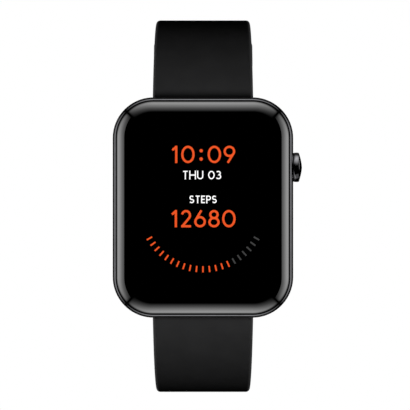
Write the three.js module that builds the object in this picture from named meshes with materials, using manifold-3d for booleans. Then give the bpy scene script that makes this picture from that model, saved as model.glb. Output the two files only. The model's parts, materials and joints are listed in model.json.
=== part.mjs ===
// A rectangular smartwatch with a push crown and a two-piece 20 mm silicone strap, unbuckled. Millimetres.
//
// Everything is modelled in the dial frame: +X to three o'clock, +Y to twelve o'clock and +Z out through the
// glass, with z = 0 on the flat of the sensor window that touches the wrist. The last lines stand the watch
// up, so that in the part's own frame the glass faces -Y and twelve o'clock points to +Z.

import * as THREE from "three";
import { mergeVertices } from "three/addons/utils/BufferGeometryUtils.js";
import Module from "manifold-3d";

const wasm = await Module();
wasm.setup();

// ---------------------------------------------------------------- driving dimensions

const SEAT = 0.05; // gap between faces that touch
const FIT = 0.1; // gap round a piece that drops into a pocket
const RUN = 0.1; // radial gap of a shaft that turns or slides
const PAST = 1; // how far a cutting tool runs past the face that it leaves through
const ROOM = 0.3; // free space between pieces that sit side by side in the case

const CASE = {
  width: 35.4,
  height: 43.2,
  thickness: 10.5,
  corner: 8,
  shoulder: 1.3, // from the glass's flat top down to the metal lip
  lip: 0.8, // width of metal that shows round the glass
  rear: 1.4, // height of the metal's rear edge over the wrist plane
  wall: 2.8,
  ledge: 0.8, // step that the rear seal is pressed on
  bayCorner: 5,
  lugRoof: 0.8, // metal over each strap recess
  lugWall: 1.3, // metal between each strap recess and the rear pocket
  rearRound: [1.1, 0.35], // how far the side is drawn in at the rear edge, and part of the way up
  rearRise: [1, 2.6], // heights over the rear edge of that part of the way, and of the full width
  lipRound: [0.15, 0.55], // how far the side is drawn in under the lip, and at it
  lipDrop: [0.4, 1.4], // depths under the lip of the first, and of the full width
};

const GLASS = { thickness: 2.2, edge: 0.85, curve: 2.6, ledge: 1.4, step: 15 };
const GASKET = { thickness: 0.15, width: 1.2 };
const DISPLAY = { side: 3.4, end: 4.2, panel: 0.8, backlight: 0.7, corner: 2.5, backCorner: 1.5 };
const CHASSIS = { thickness: 0.5, windowHeight: 9, windowSides: 3, windowCorner: 1.5, windowDrop: 8 };
const BOARD = { thickness: 0.75, batteryGap: 0.8, fromTop: 0.9 };
const BATTERY = { share: 0.5, corner: 1.2, leadInset: 1, leadOverlap: 1.2 };
const SHIELD = { width: 11, height: 7.5, thickness: 1.2, fromSide: 1.2, fromEdge: 2 };
const MOTOR = { radius: 4, thickness: 2.2, fromEdge: 1 };
const FLEX = { thickness: 0.15, width: 5, tab: 2.8, fromCentre: 1.5, notch: 0.5, shieldGap: 0.7 };

const COVER = {
  thickness: 1,
  corner: 4,
  boss: 12, // outer radius of the round boss that carries the sensor
  pocket: 9.9,
  rim: 0.3, // how far the boss's rim stays behind the sensor's face
  land: 0.6,
  shoulder: 0.5,
  slope: 0.55,
};
const SEAL = { thickness: 0.5 };
const SCREW = {
  radius: 0.6,
  head: 1.25,
  headDepth: 0.5,
  boss: 1.7,
  length: 3.4,
  inset: 3.1,
  endGap: 0.2,
  slotHalf: 0.8,
  slotHalfWidth: 0.14,
  slotDepth: 0.22,
};
const SENSOR = {
  bump: 1.2, // how far the cover's boss stands out from its plate
  lens: 8.2,
  lensDepth: 1.3,
  ring: 9.8,
  ringSunk: 0.15,
  window: 7.2,
  flat: 7.4,
  edge: [0.25, 0.12, 0.35], // the lens's rounded edge: in from its side, then down from its flat twice
  board: 13,
  boardCorner: 3,
  boardThickness: 0.6,
  flexStart: -1,
};
const LED = { size: 1.6, thickness: 0.5, diodeOffset: 4.2, diodeHeight: 3 };
const CHARGE = {
  pin: 1.1,
  pinOffset: 2.6,
  pinProud: 0.1,
  magnet: 2,
  magnetOffset: 7.2,
  magnetFromEdge: 0.4,
  fromEdge: 2.6,
};

const CROWN = {
  radius: 2.9,
  proud: 1.75,
  dome: 0.35,
  sunk: 0.15,
  travel: 0.4,
  fromCentre: 7.9,
  wellGap: 0.2,
  edgeInner: [0.35, 0.1, 0.3], // the cap's inner edge: in from its side twice, then out from its inner face
  edgeOuter: [0.06, 0.3], // the cap's outer edge: in from its side twice
  socket: 1.1,
  stem: 0.6,
  stemPast: 0.2, // stem beyond its clip
  clip: 1.3,
  clipThickness: 0.3,
  groove: 0.15,
  clipSlot: 0.7, // width of the clip's mouth as a share of the stem
  tubeBore: 1,
  tubeWall: 0.45,
  tubeInset: 0.6, // tube that reaches into the bay
  ringFromTube: 1.2,
  ringSlack: 0.03,
};
const SWITCH = {
  depth: 1.65,
  width: 3.8,
  height: 1.6,
  plunger: 0.55,
  plungerLength: 0.9,
  plungerProud: 0.5,
  notch: 0.4,
  flexOverlap: 0.9,
};

const STRAP = {
  width: 19.6,
  rootThickness: 3,
  endThickness: 2.2,
  edge: 0.7,
  emerges: 18, // degrees behind the dial plane where it leaves the case
  clearance: 0.3,
  axisFromEnd: 2.4, // from the case's end in to the spring bar's axis
};
const UPPER = { length: 71, endWidth: 18.6, bend: 26.7, wrap: 38 };
const LOWER = { length: 105, endWidth: 17.6, bend: 25.8, wrap: 44 };
const TIP = { length: 7.5, narrowest: 0.22, rings: 8 };
const HOLES = { count: 8, radius: 1.15, pitch: 6.5, fromTip: 15 };
const BAR = {
  tube: 0.75,
  wall: 0.25,
  tip: 0.42,
  reach: 1.2,
  lever: 0.45,
  leverHeight: 2,
  leverTravel: 1.3,
  leverFromEnd: 2.4,
  pinPast: 0.4, // release pin beyond its lever
  notchHalf: 0.8,
};
const BAR_SPRING = { wire: 0.09, turns: 5, length: 4.5 };

const BUCKLE = {
  length: 8.9, // from the bar's axis to the outside of the far bar
  arm: 1.5,
  heel: 1, // arm behind the bar's side
  bar: 0.6,
  barCover: 0.5, // metal over each end of the bar
  farBar: 1.5,
  thickness: 2,
  corner: 2.4,
  slot: 2.6,
  slotBack: 2.2,
};
const TONGUE = { width: 2, ring: 1.25, thickness: 0.7, past: 0.3, arch: 0.35, crown: 0.5, tipShare: 0.7 };
const KEEPER = { length: 5, wall: 1, corner: 1.1, innerCorner: 0.4, fixedFromEnd: 6.2, freeFromEnd: 14.8 };

// ---------------------------------------------------------------- levels and places that follow

const glassBottom = CASE.thickness - GLASS.thickness;
const glassLedge = glassBottom - GASKET.thickness - 2 * SEAT;
const panelTop = glassBottom - SEAT;
const backlightTop = panelTop - DISPLAY.panel - SEAT;
const displayFloor = backlightTop - DISPLAY.backlight - SEAT;
const lipTop = CASE.thickness - CASE.shoulder;

const coverOuter = SENSOR.bump;
const coverInner = coverOuter + COVER.thickness;
const sealLedge = coverInner + SEAL.thickness + 2 * SEAT;

const barrel = STRAP.rootThickness / 2 + FIT;
const recessHalfWidth = STRAP.width / 2 + STRAP.clearance;
const recessRoof = displayFloor - CASE.lugRoof;
const axisY = CASE.height / 2 - STRAP.axisFromEnd;
const axisZ = recessRoof - STRAP.clearance - barrel;
const recessStart = axisY - barrel - STRAP.clearance;

const pocketHalfWidth = CASE.width / 2 - CASE.wall + CASE.ledge;
const pocketHalfHeight = recessStart - CASE.lugWall;
const bayHalfWidth = pocketHalfWidth - CASE.ledge;
const bayHalfHeight = pocketHalfHeight - CASE.ledge;
const screwX = pocketHalfWidth - SCREW.inset;
const screwY = pocketHalfHeight - SCREW.inset;

const chassisTop = displayFloor - SEAT;
const chassisBottom = chassisTop - CHASSIS.thickness;
const boardTop = chassisBottom - SEAT;
const boardBottom = boardTop - BOARD.thickness;
const sensorBoardTop = coverInner + FIT + SENSOR.boardThickness;
const batteryBottom = sensorBoardTop + SEAT + FLEX.thickness + FIT;
const deviceHalfWidth = screwX - SCREW.boss - ROOM;
const batteryStart = ROOM - bayHalfHeight;
const batteryHeight = 2 * bayHalfHeight * BATTERY.share;
const batteryEnd = batteryStart + batteryHeight;
const boardStart = batteryEnd + BOARD.batteryGap;
const boardEnd = bayHalfHeight - BOARD.fromTop;
const flexY = bayHalfHeight - ROOM - FLEX.thickness;
const flexLow = boardBottom - SEAT - FLEX.thickness;
const boardHeight = boardEnd - boardStart;
const shieldHeight = Math.min(SHIELD.height, boardHeight - SHIELD.fromEdge - FLEX.tab - ROOM);
const motorRadius = Math.min(MOTOR.radius, (boardHeight - MOTOR.fromEdge - BATTERY.leadOverlap - ROOM) / 2);
const displayWidth = CASE.width - 2 * DISPLAY.side;
const displayHeight = CASE.height - 2 * DISPLAY.end;
const shieldX = deviceHalfWidth - SHIELD.fromSide - SHIELD.width;

const crownY = Math.min(CROWN.fromCentre, screwY - SCREW.boss - SWITCH.width / 2 - ROOM);
const crownZ = (CASE.rear + lipTop) / 2;
const sideX = CASE.width / 2;
const crownSeat = sideX - CROWN.sunk - CROWN.travel - FIT;
const crownInner = crownSeat + CROWN.travel + FIT;
const tubeRadius = CROWN.tubeBore + CROWN.tubeWall;
const tubeInner = bayHalfWidth - CROWN.tubeInset;
const clipOuter = tubeInner - SEAT;
const clipInner = clipOuter - CROWN.clipThickness;
const stemEnd = clipInner - CROWN.stemPast;
const plungerOuter = stemEnd - SEAT;
const switchOuter = plungerOuter - SWITCH.plungerProud;

// ---------------------------------------------------------------- solids

const radians = THREE.MathUtils.degToRad;

function toSolid(geometry) {
  const bare = geometry.clone();
  bare.deleteAttribute("normal");
  bare.deleteAttribute("uv");
  const merged = mergeVertices(bare, 1e-4);
  const mesh = new wasm.Mesh({
    numProp: 3,
    vertProperties: merged.attributes.position.array,
    triVerts: new Uint32Array(merged.index.array),
  });
  return new wasm.Manifold(mesh);
}

function toGeometry(solid) {
  const mesh = solid.getMesh();
  const geometry = new THREE.BufferGeometry();
  geometry.setAttribute("position", new THREE.BufferAttribute(mesh.vertProperties, 3));
  geometry.setIndex(new THREE.BufferAttribute(mesh.triVerts, 1));
  return geometry;
}

function cut(body, ...tools) {
  return toGeometry(tools.reduce((solid, tool) => solid.subtract(toSolid(tool)), toSolid(body)));
}

function join(body, ...others) {
  return toGeometry(others.reduce((solid, other) => solid.add(toSolid(other)), toSolid(body)));
}

function block(x0, x1, y0, y1, z0, z1) {
  const box = new THREE.BoxGeometry(x1 - x0, y1 - y0, z1 - z0);
  return box.translate((x0 + x1) / 2, (y0 + y1) / 2, (z0 + z1) / 2);
}

function rodX(radius, x0, x1, y = 0, z = 0, sides = 20) {
  const rod = new THREE.CylinderGeometry(radius, radius, x1 - x0, sides);
  return rod.rotateZ(Math.PI / 2).translate((x0 + x1) / 2, y, z);
}

function rodZ(radius, z0, z1, x = 0, y = 0, sides = 24) {
  const rod = new THREE.CylinderGeometry(radius, radius, z1 - z0, sides);
  return rod.rotateX(Math.PI / 2).translate(x, y, (z0 + z1) / 2);
}

// Points round a rounded rectangle, counter-clockwise, the same number at any size.
function roundedOutline(width, height, radius, steps = 5) {
  const points = [];
  const corners = [
    [1, 1],
    [-1, 1],
    [-1, -1],
    [1, -1],
  ];
  corners.forEach(([sideX, sideY], quarter) => {
    for (let i = 0; i <= steps; i++) {
      const angle = radians(90 * (quarter + i / steps));
      const x = sideX * (width / 2 - radius) + radius * Math.cos(angle);
      const y = sideY * (height / 2 - radius) + radius * Math.sin(angle);
      points.push(new THREE.Vector2(x, y));
    }
  });
  return points;
}

function prism(points, z0, z1, hole = null) {
  const shape = new THREE.Shape(points);
  if (hole) shape.holes.push(new THREE.Path(hole));
  const extruded = new THREE.ExtrudeGeometry(shape, { depth: z1 - z0, bevelEnabled: false });
  return extruded.translate(0, 0, z0);
}

function slab(width, height, radius, z0, z1) {
  return prism(roundedOutline(width, height, radius), z0, z1);
}

// A closed skin over rings of the same number of points, each ring counter-clockwise about the way they go.
function loft(rings) {
  const count = rings[0].length;
  const points = rings.flat();
  const faces = [];
  for (let r = 0; r < rings.length - 1; r++) {
    for (let i = 0; i < count; i++) {
      const [a, b] = [r * count + i, r * count + ((i + 1) % count)];
      faces.push(a, b, b + count, a, b + count, a + count);
    }
  }
  const last = (rings.length - 1) * count;
  [rings[0], rings.at(-1)].forEach((ring) => {
    const sum = ring.reduce((total, p) => total.add(p), new THREE.Vector3());
    points.push(sum.divideScalar(count));
  });
  for (let i = 0; i < count; i++) {
    const next = (i + 1) % count;
    faces.push(points.length - 2, next, i, points.length - 1, last + i, last + next);
  }
  return new THREE.BufferGeometry().setFromPoints(points).setIndex(faces);
}

// A rounded-rectangle body whose outline is drawn in by an inset at each height, as [z, inset] from the back.
function shell(width, height, radius, levels) {
  const rings = levels.map(([z, inset]) =>
    roundedOutline(width - 2 * inset, height - 2 * inset, radius - inset).map(
      (p) => new THREE.Vector3(p.x, p.y, z),
    ),
  );
  return loft(rings);
}

// A solid of revolution about +Z, from [radius, z] points that start and end on the axis.
function turned(profile, sides = 32) {
  const lathe = new THREE.LatheGeometry(profile.map(([r, z]) => new THREE.Vector2(r, z)), sides);
  return lathe.rotateX(Math.PI / 2);
}

const tubeZ = (outer, inner, z0, z1, sides = 32) =>
  cut(rodZ(outer, z0, z1, 0, 0, sides), rodZ(inner, z0 - PAST, z1 + PAST, 0, 0, sides));

// ---------------------------------------------------------------- materials and the tree

const materials = {};

function material(name, color, roughness, metalness, more = {}) {
  const settings = { color, roughness, metalness, flatShading: true, ...more };
  materials[name] = new THREE.MeshStandardMaterial(settings);
}

material("gunmetal", 0x2b2c2e, 0.25, 0.9);
material("glass", 0x050506, 0.05, 0, { transparent: true, opacity: 0.35 });
material("gasket", 0x111111, 0.7, 0);
material("panel", 0x030303, 0.2, 0);
material("backing", 0xb8babd, 0.35, 0.8);
material("flex", 0xb5651d, 0.5, 0.1);
material("chassis", 0x1a1a1c, 0.6, 0);
material("board", 0x0d3b24, 0.5, 0);
material("can", 0xbfc2c6, 0.3, 0.9);
material("battery", 0xc9ccd1, 0.45, 0.4);
material("steel", 0x9a9da1, 0.3, 1);
material("cover", 0x161617, 0.45, 0);
material("lens", 0x08080a, 0.05, 0);
material("gold", 0xd8a84a, 0.25, 1);
material("magnet", 0x8d8f93, 0.3, 1);
material("led", 0xd9e8c8, 0.3, 0);
material("rubber", 0x101010, 0.8, 0);
material("strap", 0x1d1d1e, 0.65, 0);

function piece(name, kind, geometry) {
  const mesh = new THREE.Mesh(geometry, materials[kind]);
  mesh.name = name;
  return mesh;
}

// ---------------------------------------------------------------- the case and its front

function caseBody() {
  const { width, height, corner } = CASE;
  const outer = shell(width, height, corner, [
    [CASE.rear, CASE.rearRound[0]],
    [CASE.rear + CASE.rearRise[0], CASE.rearRound[1]],
    [CASE.rear + CASE.rearRise[1], 0],
    [lipTop - CASE.lipDrop[1], 0],
    [lipTop - CASE.lipDrop[0], CASE.lipRound[0]],
    [lipTop, CASE.lipRound[1]],
  ]);
  const lip = CASE.lip - FIT;
  const glassPocket = slab(width - 2 * lip, height - 2 * lip, corner - lip, glassLedge, lipTop + PAST);
  const inset = CASE.lip + GLASS.ledge;
  const frontBay = [width - 2 * inset, height - 2 * inset, corner - inset];
  const displayBay = slab(...frontBay, displayFloor, glassLedge + SEAT);
  const bay = cut(
    slab(2 * bayHalfWidth, 2 * bayHalfHeight, CASE.bayCorner, CASE.rear - PAST, displayFloor + SEAT),
    ...screwPlaces().map(([x, y]) => rodZ(SCREW.boss, CASE.rear - 2 * PAST, chassisBottom - FIT, x, y)),
  );
  const pocket = [2 * pocketHalfWidth, 2 * pocketHalfHeight, COVER.corner];
  const coverPocket = slab(...pocket, CASE.rear - PAST, sealLedge);
  const screwHoles = screwPlaces().map(([x, y]) =>
    rodZ(SCREW.radius + RUN, sealLedge - PAST, coverInner + SCREW.length, x, y, 12),
  );
  const crownHoles = [
    rodX(CROWN.radius + CROWN.wellGap, crownSeat, sideX + PAST, crownY, crownZ, 36),
    rodX(tubeRadius + SEAT, bayHalfWidth - PAST, sideX, crownY, crownZ),
  ];
  const fromFront = [glassPocket, displayBay];
  const fromRear = [bay, coverPocket, ...screwHoles];
  return cut(outer, ...fromFront, ...fromRear, ...crownHoles, ...strapRecesses());
}

// The gap between the lugs at each end, with the two blind holes that hold the spring bar's tips.
function strapRecesses() {
  const reach = recessHalfWidth + BAR.reach + 2 * FIT;
  return [1, -1].flatMap((end) => [
    block(
      -recessHalfWidth,
      recessHalfWidth,
      Math.min(end * recessStart, end * CASE.height),
      Math.max(end * recessStart, end * CASE.height),
      CASE.rear - PAST,
      recessRoof,
    ),
    rodX(BAR.tip + RUN, -reach, reach, end * axisY, axisZ, 12),
  ]);
}

function screwPlaces() {
  return [
    [screwX, screwY],
    [-screwX, screwY],
    [-screwX, -screwY],
    [screwX, -screwY],
  ];
}

// The lens: a straight edge, then a quarter ellipse that rolls over to the flat front.
function coverGlass() {
  const rise = CASE.thickness - glassBottom - GLASS.edge;
  const roll = [];
  for (let degrees = GLASS.step; degrees <= 90; degrees += GLASS.step) {
    const angle = radians(degrees);
    roll.push([CASE.thickness - rise * (1 - Math.sin(angle)), GLASS.curve * (1 - Math.cos(angle))]);
  }
  const outline = [CASE.width - 2 * CASE.lip, CASE.height - 2 * CASE.lip, CASE.corner - CASE.lip];
  return shell(...outline, [[glassBottom, 0], [glassBottom + GLASS.edge, 0], ...roll]);
}

function glassGasket() {
  const { width, height, corner, lip } = CASE;
  const outer = roundedOutline(width - 2 * lip, height - 2 * lip, corner - lip);
  const inset = CASE.lip + GASKET.width;
  const inner = roundedOutline(width - 2 * inset, height - 2 * inset, corner - inset);
  return prism(outer, glassLedge + SEAT, glassLedge + SEAT + GASKET.thickness, inner);
}

function displayFlex() {
  const x0 = FLEX.fromCentre - FLEX.width / 2;
  const x1 = FLEX.fromCentre + FLEX.width / 2;
  return join(
    block(x0, x1, flexY, flexY + FLEX.thickness, flexLow, backlightTop),
    block(x0, x1, boardEnd - FLEX.tab, flexY + FLEX.thickness, flexLow, flexLow + FLEX.thickness),
  );
}

// ---------------------------------------------------------------- what the bay holds

function chassis() {
  const plate = slab(
    2 * (bayHalfWidth - 2 * FIT),
    2 * (bayHalfHeight - 2 * FIT),
    CASE.bayCorner - 2 * FIT,
    chassisBottom,
    chassisTop,
  );
  const notchHalf = FLEX.width / 2 + FLEX.notch;
  const flexNotch = block(
    FLEX.fromCentre - notchHalf,
    FLEX.fromCentre + notchHalf,
    flexY - ROOM,
    bayHalfHeight + PAST,
    0,
    CASE.thickness,
  );
  const switchHalf = SWITCH.width / 2 + SWITCH.notch;
  const switchNotch = block(
    switchOuter - SWITCH.depth - FLEX.notch,
    bayHalfWidth + PAST,
    crownY - switchHalf,
    crownY + switchHalf,
    0,
    CASE.thickness,
  );
  const { windowHeight, windowSides, windowCorner, windowDrop } = CHASSIS;
  const windowWidth = 2 * (deviceHalfWidth - windowSides);
  const window = slab(windowWidth, windowHeight, windowCorner, 0, CASE.thickness);
  return cut(plate, flexNotch, switchNotch, window.translate(0, batteryEnd - windowDrop, 0));
}

function lShapedFlex(x0, x1, y0, y1, z0, z1) {
  return join(
    block(x0, x1, y0, y1, z0, z0 + FLEX.thickness),
    block(x0, x1, y1 - FLEX.thickness, y1, z0, z1),
  );
}

function shieldCan() {
  const y = boardStart + SHIELD.fromEdge;
  const top = boardBottom - SEAT;
  return block(shieldX, shieldX + SHIELD.width, y, y + shieldHeight, top - SHIELD.thickness, top);
}

function vibrationMotor() {
  const x = motorRadius - deviceHalfWidth;
  const y = boardEnd - motorRadius - MOTOR.fromEdge;
  const top = boardBottom - SEAT;
  return rodZ(motorRadius, top - MOTOR.thickness, top, x, y);
}

function battery() {
  const cell = slab(2 * deviceHalfWidth, batteryHeight, BATTERY.corner, batteryBottom, chassisBottom - FIT);
  return cell.translate(0, (batteryStart + batteryEnd) / 2, 0);
}

function batteryLead() {
  const x = BATTERY.leadInset - deviceHalfWidth;
  const y = boardStart + BATTERY.leadOverlap;
  return block(x, x + FLEX.tab, batteryEnd + FIT, y, flexLow, flexLow + FLEX.thickness);
}

function internals() {
  const board = block(-deviceHalfWidth, deviceHalfWidth, boardStart, boardEnd, boardBottom, boardTop);
  return [
    piece("chassis", "chassis", chassis()),
    piece("main_board", "board", board),
    piece("shield_can", "can", shieldCan()),
    piece("vibration_motor", "steel", vibrationMotor()),
    piece("battery", "battery", battery()),
    piece("battery_lead", "flex", batteryLead()),
  ];
}

// ---------------------------------------------------------------- the rear cover and the optical sensor

const chargeY = -Math.max(pocketHalfHeight - CHARGE.fromEdge, SENSOR.ring + CHARGE.pin + FIT);

function rearCover() {
  const plate = slab(
    2 * (pocketHalfWidth - FIT),
    2 * (pocketHalfHeight - FIT),
    COVER.corner - FIT,
    coverOuter,
    coverInner,
  );
  const bossProfile = [
    [0, COVER.rim],
    [SENSOR.ring + COVER.land, COVER.rim],
    [COVER.boss - COVER.shoulder, coverOuter * COVER.slope],
    [COVER.boss, coverOuter + SEAT],
    [0, coverOuter + SEAT],
  ];
  const boss = turned(bossProfile, 48);
  const pocket = rodZ(COVER.pocket, -PAST, SENSOR.lensDepth + SEAT, 0, 0, 48);
  const window = rodZ(SENSOR.window, -PAST, coverInner + PAST, 0, 0, 36);
  const screwHoles = screwPlaces().flatMap(([x, y]) => [
    rodZ(SCREW.radius + RUN, -PAST, coverInner + PAST, x, y, 12),
    rodZ(SCREW.head + FIT, -PAST, coverOuter + SCREW.headDepth, x, y, 20),
  ]);
  const pinHoles = [-CHARGE.pinOffset, CHARGE.pinOffset].map((x) =>
    rodZ(CHARGE.pin + SEAT, -PAST, coverInner + PAST, x, chargeY, 20),
  );
  return cut(join(plate, boss), pocket, window, ...screwHoles, ...pinHoles);
}

function rearScrew(x, y) {
  const headBottom = coverOuter + SEAT;
  const headTop = coverOuter + SCREW.headDepth - SEAT;
  const screw = join(
    rodZ(SCREW.head, headBottom, headTop, 0, 0, 20),
    rodZ(SCREW.radius, headTop - SEAT, coverInner + SCREW.length - SCREW.endGap, 0, 0, 12),
  );
  const { slotHalf, slotHalfWidth, slotDepth } = SCREW;
  const slots = [
    block(-slotHalf, slotHalf, -slotHalfWidth, slotHalfWidth, headBottom - PAST, headBottom + slotDepth),
    block(-slotHalfWidth, slotHalfWidth, -slotHalf, slotHalf, headBottom - PAST, headBottom + slotDepth),
  ];
  return cut(screw, ...slots).translate(x, y, 0);
}

function sensorLens() {
  const { lens, flat, lensDepth, edge } = SENSOR;
  const profile = [
    [0, 0],
    [flat, 0],
    [lens - edge[0], edge[1]],
    [lens, edge[2]],
    [lens, lensDepth],
    [0, lensDepth],
  ];
  return turned(profile, 48);
}

function lightBaffle() {
  const disc = rodZ(SENSOR.window - FIT, SENSOR.lensDepth + 2 * SEAT, coverInner, 0, 0, 36);
  const { size, diodeOffset, diodeHeight } = LED;
  const windows = [-1, 0, 1].map((side) => {
    const halfHeight = (side === 0 ? size : diodeHeight) / 2 + ROOM;
    const halfWidth = size / 2 + ROOM;
    const x = side * diodeOffset;
    return block(x - halfWidth, x + halfWidth, -halfHeight, halfHeight, 0, coverInner + PAST);
  });
  return cut(disc, ...windows);
}

function sensorStack() {
  const boardBottomZ = coverInner + FIT;
  const chipTop = boardBottomZ - SEAT;
  const half = LED.size / 2;
  const chip = (x, height) =>
    block(x - half, x + half, -height / 2, height / 2, chipTop - LED.thickness, chipTop);
  const flexX = shieldX - FLEX.shieldGap - FLEX.tab;
  const flexEnds = [SENSOR.flexStart, boardStart + SHIELD.fromEdge];
  const ring = tubeZ(SENSOR.ring, SENSOR.lens + FIT, SENSOR.ringSunk, SENSOR.lensDepth, 48);
  const board = slab(SENSOR.board, SENSOR.board, SENSOR.boardCorner, boardBottomZ, sensorBoardTop);
  return [
    piece("sensor_lens", "lens", sensorLens()),
    piece("sensor_ring", "gunmetal", ring),
    piece("light_baffle", "chassis", lightBaffle()),
    piece("sensor_led", "led", chip(0, LED.size)),
    piece("photodiode_left", "lens", chip(-LED.diodeOffset, LED.diodeHeight)),
    piece("photodiode_right", "lens", chip(LED.diodeOffset, LED.diodeHeight)),
    piece("sensor_board", "board", board),
    piece(
      "sensor_flex",
      "flex",
      lShapedFlex(flexX, flexX + FLEX.tab, ...flexEnds, sensorBoardTop + SEAT, boardBottom - SEAT),
    ),
  ];
}

function rearSeal() {
  const pocket = [2 * (pocketHalfWidth - FIT), 2 * (pocketHalfHeight - FIT), COVER.corner - FIT];
  const bay = [2 * (bayHalfWidth + FIT), 2 * (bayHalfHeight + FIT), CASE.bayCorner];
  const outer = roundedOutline(...pocket);
  const inner = roundedOutline(...bay);
  const seal = prism(outer, coverInner + SEAT, coverInner + SEAT + SEAL.thickness, inner);
  const clearance = SCREW.radius + 2 * RUN;
  return cut(seal, ...screwPlaces().map(([x, y]) => rodZ(clearance, 0, CASE.thickness, x, y, 16)));
}

function rearPieces() {
  const pin = (side) =>
    rodZ(CHARGE.pin, coverOuter - CHARGE.pinProud, coverInner, side * CHARGE.pinOffset, chargeY, 20);
  const magnetY = CHARGE.magnet + CHARGE.magnetFromEdge - bayHalfHeight;
  const magnet = (side) =>
    rodZ(CHARGE.magnet, coverInner + SEAT, batteryBottom - SEAT, side * CHARGE.magnetOffset, magnetY);
  return [
    piece("rear_cover", "cover", rearCover()),
    piece("rear_seal", "rubber", rearSeal()),
    ...screwPlaces().map(([x, y], i) => piece(`rear_screw_${i + 1}`, "steel", rearScrew(x, y))),
    piece("charge_pin_left", "gold", pin(-1)),
    piece("charge_pin_right", "gold", pin(1)),
    piece("charge_magnet_left", "magnet", magnet(-1)),
    piece("charge_magnet_right", "magnet", magnet(1)),
  ];
}

// ---------------------------------------------------------------- the crown

// These are turned about +Z and then laid along +X by the crown's group, so z here is the case's x.
function crownPieces() {
  const outer = sideX + CROWN.proud;
  const rim = outer - CROWN.dome;
  const { radius, stem, edgeInner, edgeOuter } = CROWN;
  const capProfile = [
    [0, crownInner],
    [radius - edgeInner[0], crownInner],
    [radius - edgeInner[1], crownInner + edgeInner[2]],
    [radius, (crownInner + rim) / 2],
    [radius - edgeOuter[0], rim - edgeOuter[1]],
    [radius - edgeOuter[1], rim],
    [radius * 0.6, outer - CROWN.dome * 0.3],
    [0, outer],
  ];
  const socketEnd = crownInner + CROWN.socket;
  const cap = cut(turned(capProfile, 40), rodZ(stem + RUN, crownInner - PAST, socketEnd, 0, 0, 20));
  const grooved = cut(
    rodZ(stem, stemEnd, socketEnd - SEAT, 0, 0, 16),
    tubeZ(stem + PAST, stem - CROWN.groove, clipInner - SEAT, clipOuter + SEAT, 16),
  );
  const clip = cut(
    tubeZ(CROWN.clip, stem + SEAT - CROWN.groove, clipInner, clipOuter, 24),
    block(0, CROWN.clip + PAST, -stem * CROWN.clipSlot, stem * CROWN.clipSlot, 0, sideX),
  );
  const ringPath = (CROWN.tubeBore + stem) / 2;
  const ringRadius = (CROWN.tubeBore - stem) / 2 - CROWN.ringSlack;
  const oRing = new THREE.TorusGeometry(ringPath, ringRadius, 6, 16);
  const tube = tubeZ(tubeRadius, CROWN.tubeBore, tubeInner, crownSeat - SEAT, 24);
  return [
    piece("crown_cap", "gunmetal", cap),
    piece("crown_stem", "steel", grooved),
    piece("crown_clip", "steel", clip),
    piece("crown_o_ring", "rubber", oRing.translate(0, 0, tubeInner + CROWN.ringFromTube)),
    piece("crown_tube", "steel", tube),
    piece(
      "switch_plunger",
      "chassis",
      rodZ(SWITCH.plunger, plungerOuter - SWITCH.plungerLength, plungerOuter, 0, 0, 16),
    ),
  ];
}

function crownSwitch() {
  const inner = switchOuter - SWITCH.depth;
  const [halfY, halfZ] = [SWITCH.width / 2, SWITCH.height / 2];
  const y = crownY;
  const well = plungerOuter - SWITCH.plungerLength - CROWN.travel - FIT;
  const body = cut(
    block(inner, switchOuter, y - halfY, y + halfY, crownZ - halfZ, crownZ + halfZ),
    rodX(SWITCH.plunger + RUN, well, sideX, y, crownZ, 16),
  );
  const flexOuter = inner - SEAT;
  const flexInner = deviceHalfWidth - SWITCH.flexOverlap;
  const flex = join(
    block(flexOuter - FLEX.thickness, flexOuter, y - halfY, y + halfY, flexLow, crownZ + halfZ),
    block(flexInner, flexOuter, y - halfY, y + halfY, flexLow, flexLow + FLEX.thickness),
  );
  return [piece("switch_body", "steel", body), piece("switch_flex", "flex", flex)];
}

// ---------------------------------------------------------------- the strap's path

// The strap leaves the spring bar's axis, turns through a tight bend until it points straight back, and then
// follows a wider bend round the wrist. A station is the frame on its centreline at a length from the axis,
// with x across, y along and z out of the strap's outer face.
function stationOn(half, length) {
  const start = radians(STRAP.emerges);
  const bendLength = half.bend * (Math.PI / 2 - start);
  const along = Math.min(length, bendLength);
  let tilt = start + along / half.bend;
  let y = axisY + half.bend * (Math.sin(tilt) - Math.sin(start));
  let z = axisZ - half.bend * (Math.cos(start) - Math.cos(tilt));
  if (length > bendLength) {
    tilt += (length - bendLength) / half.wrap;
    y += half.wrap * (Math.sin(tilt) - 1);
    z += half.wrap * Math.cos(tilt);
  }
  const across = new THREE.Vector3(1, 0, 0);
  const forward = new THREE.Vector3(0, Math.cos(tilt), -Math.sin(tilt));
  const outward = new THREE.Vector3(0, Math.sin(tilt), Math.cos(tilt));
  return new THREE.Matrix4().makeBasis(across, forward, outward).setPosition(0, y, z);
}

function wrapCentre(half) {
  const bendLength = half.bend * (Math.PI / 2 - radians(STRAP.emerges));
  return new THREE.Vector3(0, -half.wrap, 0).add(
    new THREE.Vector3().setFromMatrixPosition(stationOn(half, bendLength)),
  );
}

const widthAt = (half, length) => THREE.MathUtils.lerp(STRAP.width, half.endWidth, length / half.length);
const thicknessAt = (half, length) =>
  THREE.MathUtils.lerp(STRAP.rootThickness, STRAP.endThickness, length / half.length);

// The strap's cross-section at a station, shrunk across by a share near the tip.
function sectionAt(half, length, share = 1) {
  const outline = roundedOutline(widthAt(half, length) * share, thicknessAt(half, length), STRAP.edge, 2);
  const station = stationOn(half, length);
  return outline.map((p) => new THREE.Vector3(-p.x, 0, p.y).applyMatrix4(station));
}

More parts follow.
